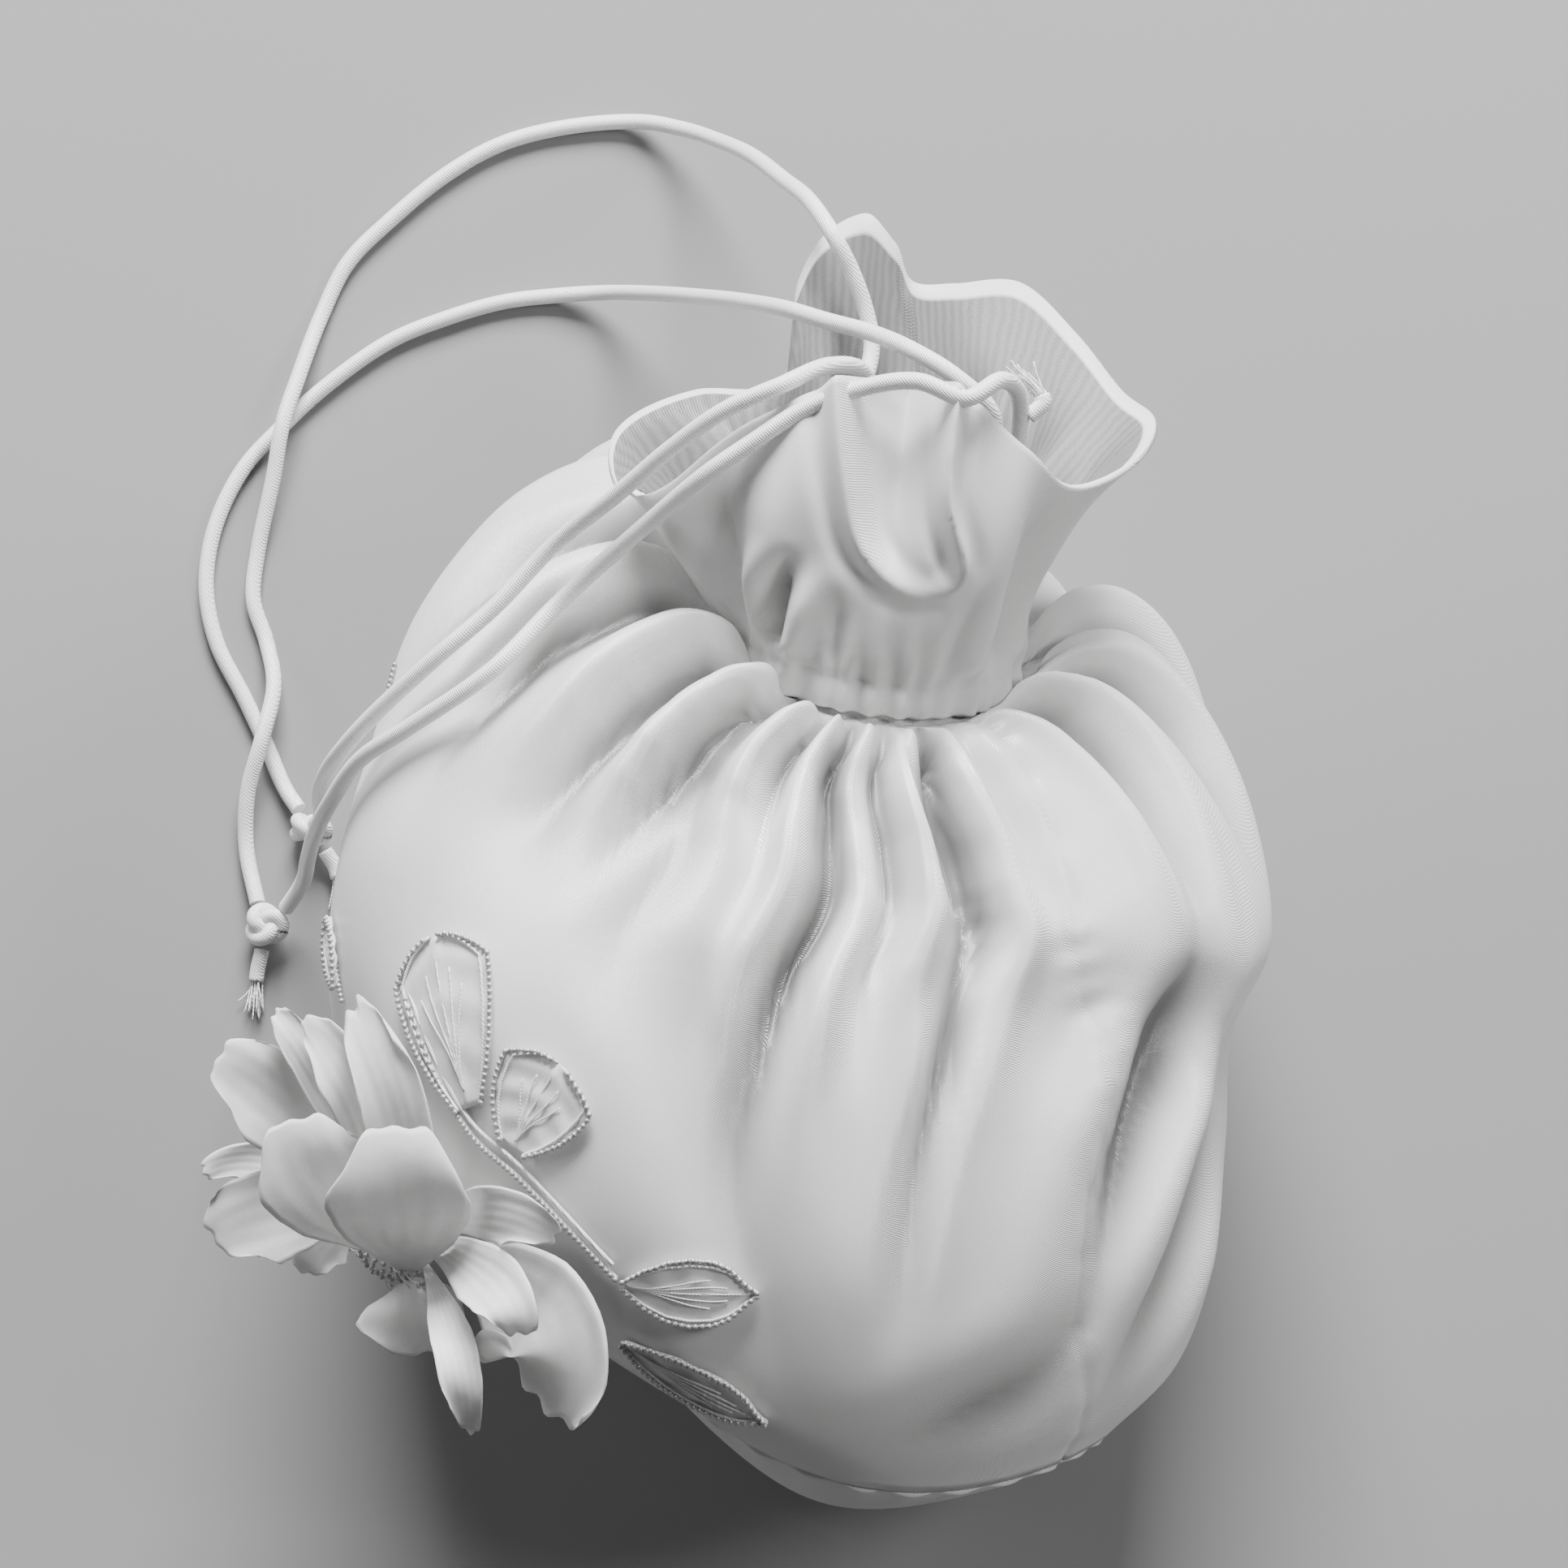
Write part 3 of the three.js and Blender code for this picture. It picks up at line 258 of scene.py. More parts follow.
# The cords' routes
CORDS = {
    "cord_outer": [
        (-12.4, 67.6, 71.8), (-9.6, 66.1, 74.2), (-9, 84, 83.5), (-7.5, 104, 86), (-7, 115, 84),
        (-9, 121, 84.5), (-12.5, 127, 87), (-16.9, 132.5, 89.5), (-21.9, 139.3, 84.5), (-29, 149, 66),
        (-37, 160, 43), (-45, 168.5, 22.5), (-53, 174, 9), (-62, 176, 3), (-75.5, 173, 1.7),
        (-87.5, 167.5, 1.6), (-97, 159.5, 1.6), (-106, 148.5, 1.6), (-112.5, 138.5, 1.6),
        (-115.5, 127, 1.7), (-117, 114, 5), (-118, 103.5, 6.6), (-118, 93.5, 4.6), (-118.5, 79, 1.7),
        (-117.5, 69.5, 1.6), (-113.5, 62, 1.8), (-110, 53, 4.8), (-110, 42.5, 6.6), (-111, 32, 4),
        (-109.5, 22, 1.8), (-105.15, 11.6, 3.6),
    ],
    "cord_inner": [
        (16.67, 67.78, 71.55), (13.6, 66.1, 74.2), (17, 80, 90), (19, 88, 102), (18, 93, 110),
        (15.8, 98.4, 116), (8.9, 102.7, 118), (1, 106.5, 116), (-6.5, 110.5, 108.5), (-15, 114, 99.5),
        (-22.3, 117.7, 90), (-31.2, 123.8, 70), (-41.8, 131.6, 42), (-52.5, 137.5, 19), (-62, 140, 6),
        (-71, 139, 2.3), (-81.5, 136, 1.6), (-91.5, 131, 1.6), (-101.5, 124.5, 1.6),
        (-112, 113.5, 1.6), (-118.5, 104.5, 1.6), (-124.5, 94.5, 1.6), (-127.5, 82.5, 1.6),
        (-127, 71, 1.6), (-123, 60.5, 1.6), (-115.5, 50.5, 1.6), (-109.5, 42, 1.6), (-104.5, 34.5, 2),
        (-101, 30.75, 3.4),
    ],
    "strand_low": [
        (22.4, 58.1, 87.05), (18.2, 58.5, 86.4), (20.5, 80, 102), (21.5, 92, 114), (20.5, 99.5, 123),
        (17, 99.5, 131), (11.8, 94.5, 134), (3.2, 96, 134), (-6.4, 93.8, 131), (-15.9, 89, 127),
        (-22.2, 83.5, 125.5), (-29.5, 77.1, 122.3), (-38.6, 69.7, 110.8), (-52, 57.5, 95),
        (-61.5, 43, 96), (-74, 32.5, 89), (-82.5, 27, 80), (-88, 21, 66), (-92, 18.5, 46),
        (-94.5, 17.5, 28), (-96.5, 15, 13), (-99.3, 11.25, 6.3),
    ],
    "strand_high": [
        (-17.2, 56.3, 89.9), (-13.4, 57.2, 88.9), (-12, 80, 97), (-6, 96, 103), (-6.5, 102.5, 110),
        (-12.5, 99.8, 121), (-19.4, 93.1, 128), (-27.9, 87.9, 126), (-35.9, 81.8, 119.5),
        (-44.8, 74.2, 109.5), (-54.9, 66.2, 98), (-63, 55, 94), (-71.5, 45, 91.5), (-82, 34.5, 81),
        (-88, 29, 69), (-92, 27.5, 50), (-94, 27.5, 32), (-95, 27.3, 17), (-96.6, 27.2, 9.9),
    ],
}

# The knots: middle, the cord end below, whether it lies level, and the seed of its loose threads
KNOTS = {
    "knot_outer": ((-102.6, 7.6, 4.8), [(-102.6, 3, 3.5), (-102.8, -1.5, 2.2), (-102, -8, 1.7)], True, 3),
    "knot_inner": ((-98, 27.1, 4.8), [(-94.6, 23.8, 3.4), (-92, 20.8, 2.2), (-89.5, 12, 1.7)], False, 4),
}
NECK_TAIL = [(22.6, 97.3, 119.4), (24.6, 100.3, 119.8), (20.5, 104.5, 120)]


class BagSizes(bpy.types.PropertyGroup):
    """Sizes a user may change without leaving the solids."""

    cord_diameter: FloatProperty(
        name="Cord diameter", description="Thickness of the satin cord",
        default=0.003, min=0.001, max=0.006, subtype="DISTANCE", unit="LENGTH")
    cloth: FloatProperty(
        name="Cloth", description="Thickness of the pouch's two layers of cloth",
        default=0.0012, min=0.0005, max=0.003, subtype="DISTANCE", unit="LENGTH")
    petal: FloatProperty(
        name="Petal cloth", description="Thickness of a petal's organza",
        default=0.0004, min=0.0002, max=0.001, subtype="DISTANCE", unit="LENGTH")
    bead: FloatProperty(
        name="Bead", description="Diameter of a seed bead",
        default=0.001, min=0.0006, max=0.003, subtype="DISTANCE", unit="LENGTH")
    pleats: FloatProperty(
        name="Pleats", description="Height of the small pleats at the gathers",
        default=0.0016, min=0, max=0.003, subtype="DISTANCE", unit="LENGTH")


class BagColours(bpy.types.PropertyGroup):
    """Colours of the cloths, cord and beads."""

    satin: FloatVectorProperty(
        name="Satin", description="Colour of the satin", subtype="COLOR", size=4,
        min=0, max=1, default=(0.76, 0.76, 0.755, 1))
    organza: FloatVectorProperty(
        name="Organza", description="Colour of the petals", subtype="COLOR", size=4,
        min=0, max=1, default=(0.84, 0.84, 0.835, 1))
    cord: FloatVectorProperty(
        name="Cord", description="Colour of the cord", subtype="COLOR", size=4,
        min=0, max=1, default=(0.84, 0.84, 0.835, 1))
    bead: FloatVectorProperty(
        name="Bead", description="Colour of the silver beads", subtype="COLOR", size=4,
        min=0, max=1, default=(0.62, 0.62, 0.63, 1))


# Curves and surfaces


def smooth(value, low, high):
    """From 0 at low to 1 at high, level at both ends."""
    share = np.clip((np.asarray(value, float) - low) / (high - low), 0, 1)
    return share * share * (3 - 2 * share)


def unit(ways):
    """The same ways at a length of one."""
    return ways / np.maximum(np.linalg.norm(ways, axis=-1, keepdims=True), 1e-9)


def outline_share(run, outline):
    """An outline's width at each share of the way along it."""
    return np.interp(run, np.linspace(0, 1, len(outline)), outline)


def curve_through(points, at):
    """Points at shares of the way along a smooth line through points."""
    points = np.asarray(points, float)
    place = (len(points) - 1) * np.clip(np.asarray(at, float), 0, 1)
    row = np.minimum(place.astype(int), len(points) - 2)
    share = (place - row)[..., None]
    longer = np.vstack([2 * points[0] - points[1], points, 2 * points[-1] - points[-2]])
    a, b, c, d = (longer[row + k] for k in range(4))
    ab, bc, cd = (np.sqrt(np.maximum(np.linalg.norm(q - p, axis=-1, keepdims=True), 1e-6))
                  for p, q in ((a, b), (b, c), (c, d)))
    first = ((b - a) / ab - (c - a) / (ab + bc) + (c - b) / bc) * bc
    second = ((c - b) / bc - (d - b) / (bc + cd) + (d - c) / cd) * bc
    return (b + share * first + share ** 2 * (3 * (c - b) - 2 * first - second)
            + share ** 3 * (2 * (b - c) + first + second))


def view_directions():
    """Across the photograph, up it and out of it."""
    across = (math.cos(VIEW_LEAN), math.sin(VIEW_LEAN), 0)
    out = (across[1] * math.cos(VIEW_RISE), -across[0] * math.cos(VIEW_RISE), math.sin(VIEW_RISE))
    return np.array(across), np.cross(out, across), np.array(out)


def neck_outward(turn):
    """The way out from the neck's axis, level with its ring."""
    turn = np.radians(np.asarray(turn, float))
    front = np.array([0, -math.sin(NECK_TILT), math.cos(NECK_TILT)])
    return np.cos(turn)[..., None] * np.array([1.0, 0, 0]) + np.sin(turn)[..., None] * front


def neck_point(turn, radius, along):
    """A point round the neck, along its axis from the casing's middle."""
    out = neck_outward(turn)
    radius = np.asarray(radius, float)[..., None]
    along = np.asarray(along, float)[..., None]
    return NECK_CENTRE + radius * out + along * NECK_AXIS


def wall_meridians():
    """The wall's lines at its right, top, left and underside."""
    lines = [[], [], [], []]
    for left, left_away, right, right_away, up, top_away, top_up, low_away, low_up in SECTIONS:
        middle = (left + right) / 2
        for line, (x, y, z) in zip(lines, (
                (right, right_away, up), (middle, top_away, top_up),
                (left, left_away, up), (middle, low_away, low_up))):
            line.append((x * WIDTH / 2, y * LENGTH / 2, z * HEIGHT))
    for line, turn in zip(lines, (0, 90, 180, 270)):
        line.append(tuple(neck_point(turn, NECK_RADIUS, -CASING / 2)))
    return lines


MERIDIANS = wall_meridians()


def plain_wall(turn, along):
    """The wall without folds: turn in degrees round it, along from the base seam to the neck."""
    turn, along = np.broadcast_arrays(np.asarray(turn, float), np.asarray(along, float))
    right, top, left, low = (curve_through(line, along) for line in MERIDIANS)
    angle = np.radians(turn)[..., None]
    return ((right + top + left + low) / 4 + (right - left) / 2 * np.cos(angle)
            + (top - low) / 2 * np.sin(angle) + (right + left - top - low) / 4 * np.cos(2 * angle))


def surface_normal(surface, turn, along, step_turn=0.7, step_along=0.006):
    """The way out of a surface, from small steps round it and along it."""
    round_it = surface(turn + step_turn, along) - surface(turn - step_turn, along)
    up = surface(turn, np.minimum(along + step_along, 1)) - surface(turn, np.maximum(along - step_along, 0))
    return unit(np.cross(up, round_it))


def wall_normal(turn, along):
    """The way out of the plain wall, level with the neck's ring near the neck."""
    out = surface_normal(plain_wall, turn, along)
    share = smooth(along, 0.88, 1)[..., None]
    return unit(out * (1 - share) + neck_outward(turn) * share)


def line_distance(turn, along, line, per_turn, per_along):
    """Millimetres from each place to a line on the surface, and how far along the line."""
    best = np.full(turn.shape, 1e9)
    run = np.zeros(turn.shape)
    for count, ((t0, a0), (t1, a1)) in enumerate(zip(line, line[1:])):
        u = ((turn - t0 + 180) % 360 - 180) * per_turn
        v = (along - a0) * per_along
        du, dv = (t1 - t0) * per_turn, (a1 - a0) * per_along
        share = np.clip((u * du + v * dv) / (du * du + dv * dv + 1e-9), 0, 1)
        far = np.hypot(u - share * du, v - share * dv)
        run = np.where(far < best, (count + share) / (len(line) - 1), run)
        best = np.minimum(best, far)
    return best, run


def press_folds(turn, along, folds, per_turn, per_along, fade_below=0.9):
    """Millimetres that the folds move the surface: in along a valley, out on the ridges beside it."""
    total = np.zeros(turn.shape)
    for depth, width, line in folds:
        starts_on_wall = line[0][1] < fade_below
        scale = np.array([per_turn, per_along])
        line = curve_through(np.array(line) * scale, np.linspace(0, 1, 4 * len(line) - 3)) / scale
        far, run = line_distance(turn, along, line, per_turn, per_along)
        strength = depth * (1 - smooth(run, FOLD_FADE, 1))
        if starts_on_wall:
            strength = strength * smooth(run, 0, FOLD_RISE)
        valley = np.exp(-(far / width) ** 1.3)
        ridge = np.exp(-((far - RIDGE_PLACE * width) / width) ** 2)
        total -= strength * (valley - RIDGE_HEIGHT * ridge)
    return total


def small_pleats(turn, along=AT_GATHERS):
    """Millimetres that the fine pleats lift the cloth where they run out of the gathers."""
    chance = np.random.default_rng(PLEAT_SEED)
    total = np.zeros(turn.shape)
    for number in range(PLEATS):
        middle = (number + chance.uniform(-0.3, 0.3)) * 360 / PLEATS
        lean = chance.uniform(-7, 7)
        end = PLEAT_START - chance.uniform(0, 0.2)
        width = chance.uniform(0.28, 0.42) * 360 / PLEATS
        away = (turn - middle - lean * (1 - along) / (1 - end) + 180) % 360 - 180
        total += chance.uniform(0.6, 1.2) * smooth(along, end, 0.985) * np.exp(-(away / width) ** 2)
    return (total - 0.5) * bpy.context.scene.bag_sizes.pleats * 1000


def gathers(turn):
    """A wave with a crest for each gather of the neck."""
    return np.cos(np.radians(turn) * GATHERS)


def wall_press(turn, along):
    """All that the folds, gathers and seam add to the plain wall, in millimetres."""
    move = press_folds(turn, along, POUCH_FOLDS, WALL_PER_TURN, WALL_PER_ALONG)
    move *= (1 - smooth(along, 0.86, 0.98)) * smooth(along, 0, 0.11)
    move -= GATHER_DEPTH * smooth(along, 0.6, 0.97) * (0.5 + 0.5 * gathers(turn))
    move += small_pleats(turn, along)
    far, run = line_distance(turn, along, SEAM, WALL_PER_TURN, WALL_PER_ALONG)
    pucker = np.sin(run * 150) + 0.6 * np.sin(run * 83 + 1)
    move -= SEAM_DEPTH * np.exp(-(far / SEAM_WIDTH) ** 2)
    move -= PUCKER_HEIGHT * pucker * np.exp(-(far / PUCKER_WIDTH) ** 2)
    for height, waves, slant, start in SOFT_WAVES:
        wave = np.sin(np.radians(turn) * waves + along * slant + start)
        move += height * wave * np.sin(np.pi * np.clip(along, 0, 1))
    return move


def wall_point(turn, along, lift=0.0):
    """A point of the finished wall, at a lift over its outer face."""
    turn, along = np.broadcast_arrays(np.asarray(turn, float), np.asarray(along, float))
    out = plain_wall(turn, along) + wall_normal(turn, along) * (wall_press(turn, along) + lift)[..., None]
    out[..., 2] = np.maximum(out[..., 2], np.maximum(-lift, 0.05))
    return out


def hem_values(turn):
    """The hem's side, away, up and swell at each turn, on a smooth closed line."""
    turn = np.asarray(turn, float) % 360
    rows = np.array(HEM)
    starts = np.append(rows[:, 0], 360)
    row = np.clip(np.searchsorted(starts, turn, side="right") - 1, 0, len(rows) - 1)
    share = ((turn - starts[row]) / (starts[row + 1] - starts[row]))[..., None]
    a, b, c, d = (rows[(row + k) % len(rows), 1:] for k in (-1, 0, 1, 2))
    return b + 0.5 * share * (c - a + share * (2 * a - 5 * b + 4 * c - d + share * (3 * (b - c) + d - a)))


def plain_frill(turn, out):
    """The frill without folds: out from 0 at the casing to 1 at the hem."""
    turn, out = np.broadcast_arrays(np.asarray(turn, float), np.asarray(out, float))
    start = CASING / 2 + SOLID_GAP
    hem = hem_values(turn)
    root = neck_point(turn, NECK_RADIUS, start)
    swell = neck_point(turn, NECK_RADIUS + FRILL_PUFF * hem[..., 3], start + FRILL_HEIGHT * 0.36)
    share = out[..., None]
    edge = NECK_CENTRE + hem[..., :3] * FRILL_HEIGHT
    return root * (1 - share) ** 2 + swell * 2 * share * (1 - share) + edge * share ** 2


def frill_normal(turn, out):
    """The way out of the plain frill, level with the neck's ring near the neck."""
    normal = surface_normal(plain_frill, turn, out, 1.5, 0.02)
    share = (1 - smooth(out, 0, 0.2))[..., None]
    return unit(normal * (1 - share) + neck_outward(turn) * share)


def frill_point(turn, out, lift=0.0):
    """A point of the finished frill, at a lift over its outer face."""
    turn, out = np.broadcast_arrays(np.asarray(turn, float), np.asarray(out, float))
    move = press_folds(turn, out, FRILL_FOLDS, FRILL_PER_TURN, FRILL_PER_ALONG, 0) * smooth(out, 0, 0.12)
    move += (small_pleats(turn, 1 - 0.5 * out) + 0.9) * (1 - smooth(out, 0, 0.4))
    move += 0.5 * np.sin(np.radians(turn) * 11 + out * 5) * out
    return plain_frill(turn, out) + frill_normal(turn, out) * (move + lift)[..., None]


# Meshes


def place_piece(data, material, replaces):
    """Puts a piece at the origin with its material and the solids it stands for."""
    piece = bpy.data.objects.new(data.name, data)
    bpy.context.scene.collection.objects.link(piece)
    data.materials.append(material)
    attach(piece, "root")
    if replaces:
        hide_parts(*replaces)
    return piece


def smooth_mesh(name, points, faces, corners=None):
    """A smooth mesh from points in millimetres, with a UV for each corner where a cloth has them."""
    mesh = bpy.data.meshes.new(name)
    mesh.from_pydata((np.asarray(points) / 1000).tolist(), [], faces)
    if corners is not None:
        layer = mesh.uv_layers.new(name="cloth")
        layer.data.foreach_set("uv", corners.astype(np.float32).ravel())
    mesh.shade_smooth()
    return mesh


def cloth_mesh(name, rings):
    """A closed cloth mesh over rings of points. The last ring joins the first."""
    sides, count = len(rings[0]), len(rings)
    faces = []
    corners = []
    for row in range(count):
        after = (row + 1) % count
        for side in range(sides):
            beside = (side + 1) % sides
            faces.append((row * sides + side, after * sides + side,
                          after * sides + beside, row * sides + beside))
            corners += [(side, row), (side, row + 1), (side + 1, row + 1), (side + 1, row)]
    return smooth_mesh(name, np.vstack(rings), faces, np.array(corners) / (sides, count))


def sheet_grid(rows, columns):
    """Shares of the way along a sheet and of its half width across it, as two grids."""
    return np.meshgrid(np.linspace(0, 1, rows), np.linspace(-1, 1, columns), indexing="ij")


def sheet_mesh(name, upper, lower):
    """A closed thin sheet between two grids of points."""
    rows, columns = upper.shape[:2]
    points = np.vstack([upper.reshape(-1, 3), lower.reshape(-1, 3)])
    faces = []
    corners = []
    under = rows * columns
    for row in range(rows - 1):
        for column in range(columns - 1):
            a = row * columns + column
            quad = (a, a + 1, a + columns + 1, a + columns)
            places = [(column, row), (column + 1, row), (column + 1, row + 1), (column, row + 1)]
            faces.append(quad)
            corners += places
            faces.append(tuple(under + k for k in reversed(quad)))
            corners += list(reversed(places))
    rim = ([(0, c) for c in range(columns)] + [(r, columns - 1) for r in range(1, rows - 1)]
           + [(rows - 1, c) for c in reversed(range(columns))]
           + [(r, 0) for r in reversed(range(1, rows - 1))])
    for here, after in zip(rim, rim[1:] + rim[:1]):
        a = here[0] * columns + here[1]
        b = after[0] * columns + after[1]
        faces.append((a, a + under, b + under, b))
        corners += [(here[1], here[0])] * 2 + [(after[1], after[0])] * 2
    return smooth_mesh(name, points, faces, np.array(corners) / (columns - 1, rows - 1))


def tube_rings(points, radius, sides, closed):
    """Rings of points round a line, turned as little as they can be."""
    points = np.asarray(points, float)
    ahead = np.roll(points, -1, axis=0) - np.roll(points, 1, axis=0)
    if not closed:
        ahead[0] = points[1] - points[0]
        ahead[-1] = points[-1] - points[-2]
    ahead = unit(ahead)
    across = np.cross(ahead[0], (0.3, 0.5, 0.81))
    rings = []
    for point, way in zip(points, ahead):
        across = unit(across - way * across.dot(way))
        other = np.cross(way, across)
        angles = np.linspace(0, 2 * math.pi, sides, endpoint=False)
        rings.append(point + radius * (np.cos(angles)[:, None] * across + np.sin(angles)[:, None] * other))
    return rings


def joined_tubes(name, lines, closed=False):
    """One mesh of several tubes: lines are (points, radius, sides)."""
    points, faces = [], []
    for line, radius, sides in lines:
        rings = tube_rings(line, radius, sides, closed)
        start = len(points)
        points += [p for ring in rings for p in ring]
        last = len(rings) if closed else len(rings) - 1
        for row in range(last):
            after = (row + 1) % len(rings)
            for side in range(sides):
                beside = (side + 1) % sides
                faces.append((start + row * sides + side, start + row * sides + beside,
                              start + after * sides + beside, start + after * sides + side))
        if not closed:
            faces.append(tuple(start + side for side in reversed(range(sides))))
            faces.append(tuple(start + last * sides + side for side in range(sides)))
    return smooth_mesh(name, points, faces)


def bead_mesh(name, centres, diameter):
    """One mesh of many beads, copied from one ball."""
    bpy.ops.mesh.primitive_ico_sphere_add(subdivisions=2, radius=diameter / 2)
    ball = bpy.context.object
    shape = np.array([v.co[:] for v in ball.data.vertices]) * 1000
    sides = [tuple(p.vertices) for p in ball.data.polygons]
    bpy.data.objects.remove(ball)
    points = (np.asarray(centres)[:, None, :] + shape[None]).reshape(-1, 3)
    faces = [tuple(v + count * len(shape) for v in side) for count in range(len(centres)) for side in sides]
    return smooth_mesh(name, points, faces)


def cloth_ring(count):
    """Turns in degrees all the way round a cloth."""
    return np.arange(count) * 360 / count


# Materials


def add_node(tree, kind, values=None, **settings):
    """Adds a node with its settings, then the constants on its own sockets."""
    node = tree.nodes.new(kind)
    for name, value in settings.items():
        setattr(node, name, value)
    for socket, value in (values or {}).items():
        node.inputs[socket].default_value = value
    return node


def link(tree, *joins):
    """Links nodes: a join is a node, its output, the next node and its input."""
    for source, output, target, socket in joins:
        tree.links.new(source.outputs[output], target.inputs[socket])


def dimmed(colour, share):
    """A colour at a share of its brightness."""
    return (*[channel * share for channel in colour[:3]], 1)


def thread_group():
    """Fine threads and soft creases as a height, and a slow drift of tone as a mask."""
    known = bpy.data.node_groups.get("cloth_threads")
    if known:
        return known
    group = bpy.data.node_groups.new("cloth_threads", "ShaderNodeTree")
    for name, value in (("Threads", 1500.0), ("Creases", 70.0), ("Thread height", 0.25)):
        socket = group.interface.new_socket(name, in_out="INPUT", socket_type="NodeSocketFloat")
        socket.default_value = value
    for name in ("Height", "Drift"):
        group.interface.new_socket(name, in_out="OUTPUT", socket_type="NodeSocketFloat")
    inputs = add_node(group, "NodeGroupInput")
    outputs = add_node(group, "NodeGroupOutput")
    place = add_node(group, "ShaderNodeTexCoord")
    waves = add_node(group, "ShaderNodeTexWave", {"Distortion": 1.5, "Detail": 1}, bands_direction="DIAGONAL")
    creases = add_node(group, "ShaderNodeTexNoise", {"Detail": 4, "Distortion": 0.4})
    drift = add_node(group, "ShaderNodeTexNoise", {"Scale": 14, "Detail": 2})
    scaled = add_node(group, "ShaderNodeMath", operation="MULTIPLY")
    total = add_node(group, "ShaderNodeMath", operation="ADD")
    link(group,
         (place, "Object", waves, "Vector"), (place, "Object", creases, "Vector"),
         (place, "Object", drift, "Vector"), (inputs, "Threads", waves, "Scale"),
         (inputs, "Creases", creases, "Scale"), (waves, "Fac", scaled, 0),
         (inputs, "Thread height", scaled, 1), (scaled, 0, total, 0), (creases, "Fac", total, 1),
         (total, 0, outputs, "Height"), (drift, "Fac", outputs, "Drift"))
    return group


def cloth_material(name, colour, roughness, sheen, threads, creases, bump, darkest,
                   alpha=None, thread_height=0.25, shine=0.5):
    """A cloth: colour that drifts a little, with threads and creases in its bump."""
    material = bpy.data.materials.new(name)
    material.use_nodes = True
    tree = material.node_tree
    shader = tree.nodes["Principled BSDF"]
    shader.inputs["Sheen Weight"].default_value = sheen
    shader.inputs["Sheen Roughness"].default_value = 0.35
    shader.inputs["Specular IOR Level"].default_value = shine
    values = {"Threads": threads, "Creases": creases, "Thread height": thread_height}
    cloth = add_node(tree, "ShaderNodeGroup", values, node_tree=thread_group())
    tone = add_node(tree, "ShaderNodeMix", {"A": dimmed(colour, darkest), "B": colour}, data_type="RGBA")
    rough = add_node(tree, "ShaderNodeMapRange", {"To Min": roughness - 0.06, "To Max": roughness + 0.06})
    raised = add_node(tree, "ShaderNodeBump", {"Strength": 0.6, "Distance": bump})
    link(tree,
         (cloth, "Drift", tone, "Factor"), (tone, "Result", shader, "Base Color"),
         (cloth, "Drift", rough, "Value"), (rough, "Result", shader, "Roughness"),
         (cloth, "Height", raised, "Height"), (raised, "Normal", shader, "Normal"))
    if alpha:
        clear = add_node(tree, "ShaderNodeMapRange", {"To Min": alpha[0], "To Max": alpha[1]})
        link(tree, (cloth, "Height", clear, "Value"), (clear, "Result", shader, "Alpha"))
    return material


def satin_material(name, colours, roughness=0.3, sheen=0.15, shine=0.8):
    """Satin, whose fine threads and creases are the same in all its pieces."""
    return cloth_material(name, colours.satin, roughness, sheen, threads=1500, creases=60,
                          bump=0.0003, darkest=0.95, shine=shine)


def cover_colour(tree, mask):
    """Adds a mix over the shader's base colour, which shows its own second colour, a painted shade, where the
    mask is 1.
    """
    base = tree.nodes["Principled BSDF"].inputs["Base Color"]
    shade_mix_node = add_node(tree, "ShaderNodeMix", data_type="RGBA")
    tree.links.new(mask, shade_mix_node.inputs["Factor"])
    tree.links.new(base.links[0].from_socket, shade_mix_node.inputs["A"])
    tree.links.new(shade_mix_node.outputs["Result"], base)
    return shade_mix_node


def made_once(make):
    """Makes a material the first time it is asked for, and finds it by its name after that."""
    def find_or_make():
        return bpy.data.materials.get(make.__name__) or make(bpy.context.scene.bag_colours)
    return find_or_make


@made_once
def ivory_satin(colours):
    return satin_material("ivory_satin", colours)


@made_once
def pouch_satin_painted_fold_shade(colours):
    """Satin with painted shade in its folds: its colour darkens by the fold depth stored on the cloth."""
    material = satin_material("pouch_satin_painted_fold_shade", colours)
    tree = material.node_tree
    # Painted shade: the fold depth stored on the cloth darkens the colour towards 0.3 of the satin's
    depth = add_node(tree, "ShaderNodeAttribute", attribute_name="painted_fold_shade")
    cover_colour(tree, depth.outputs["Fac"]).inputs["B"].default_value = dimmed(colours.satin, 0.3)
    return material


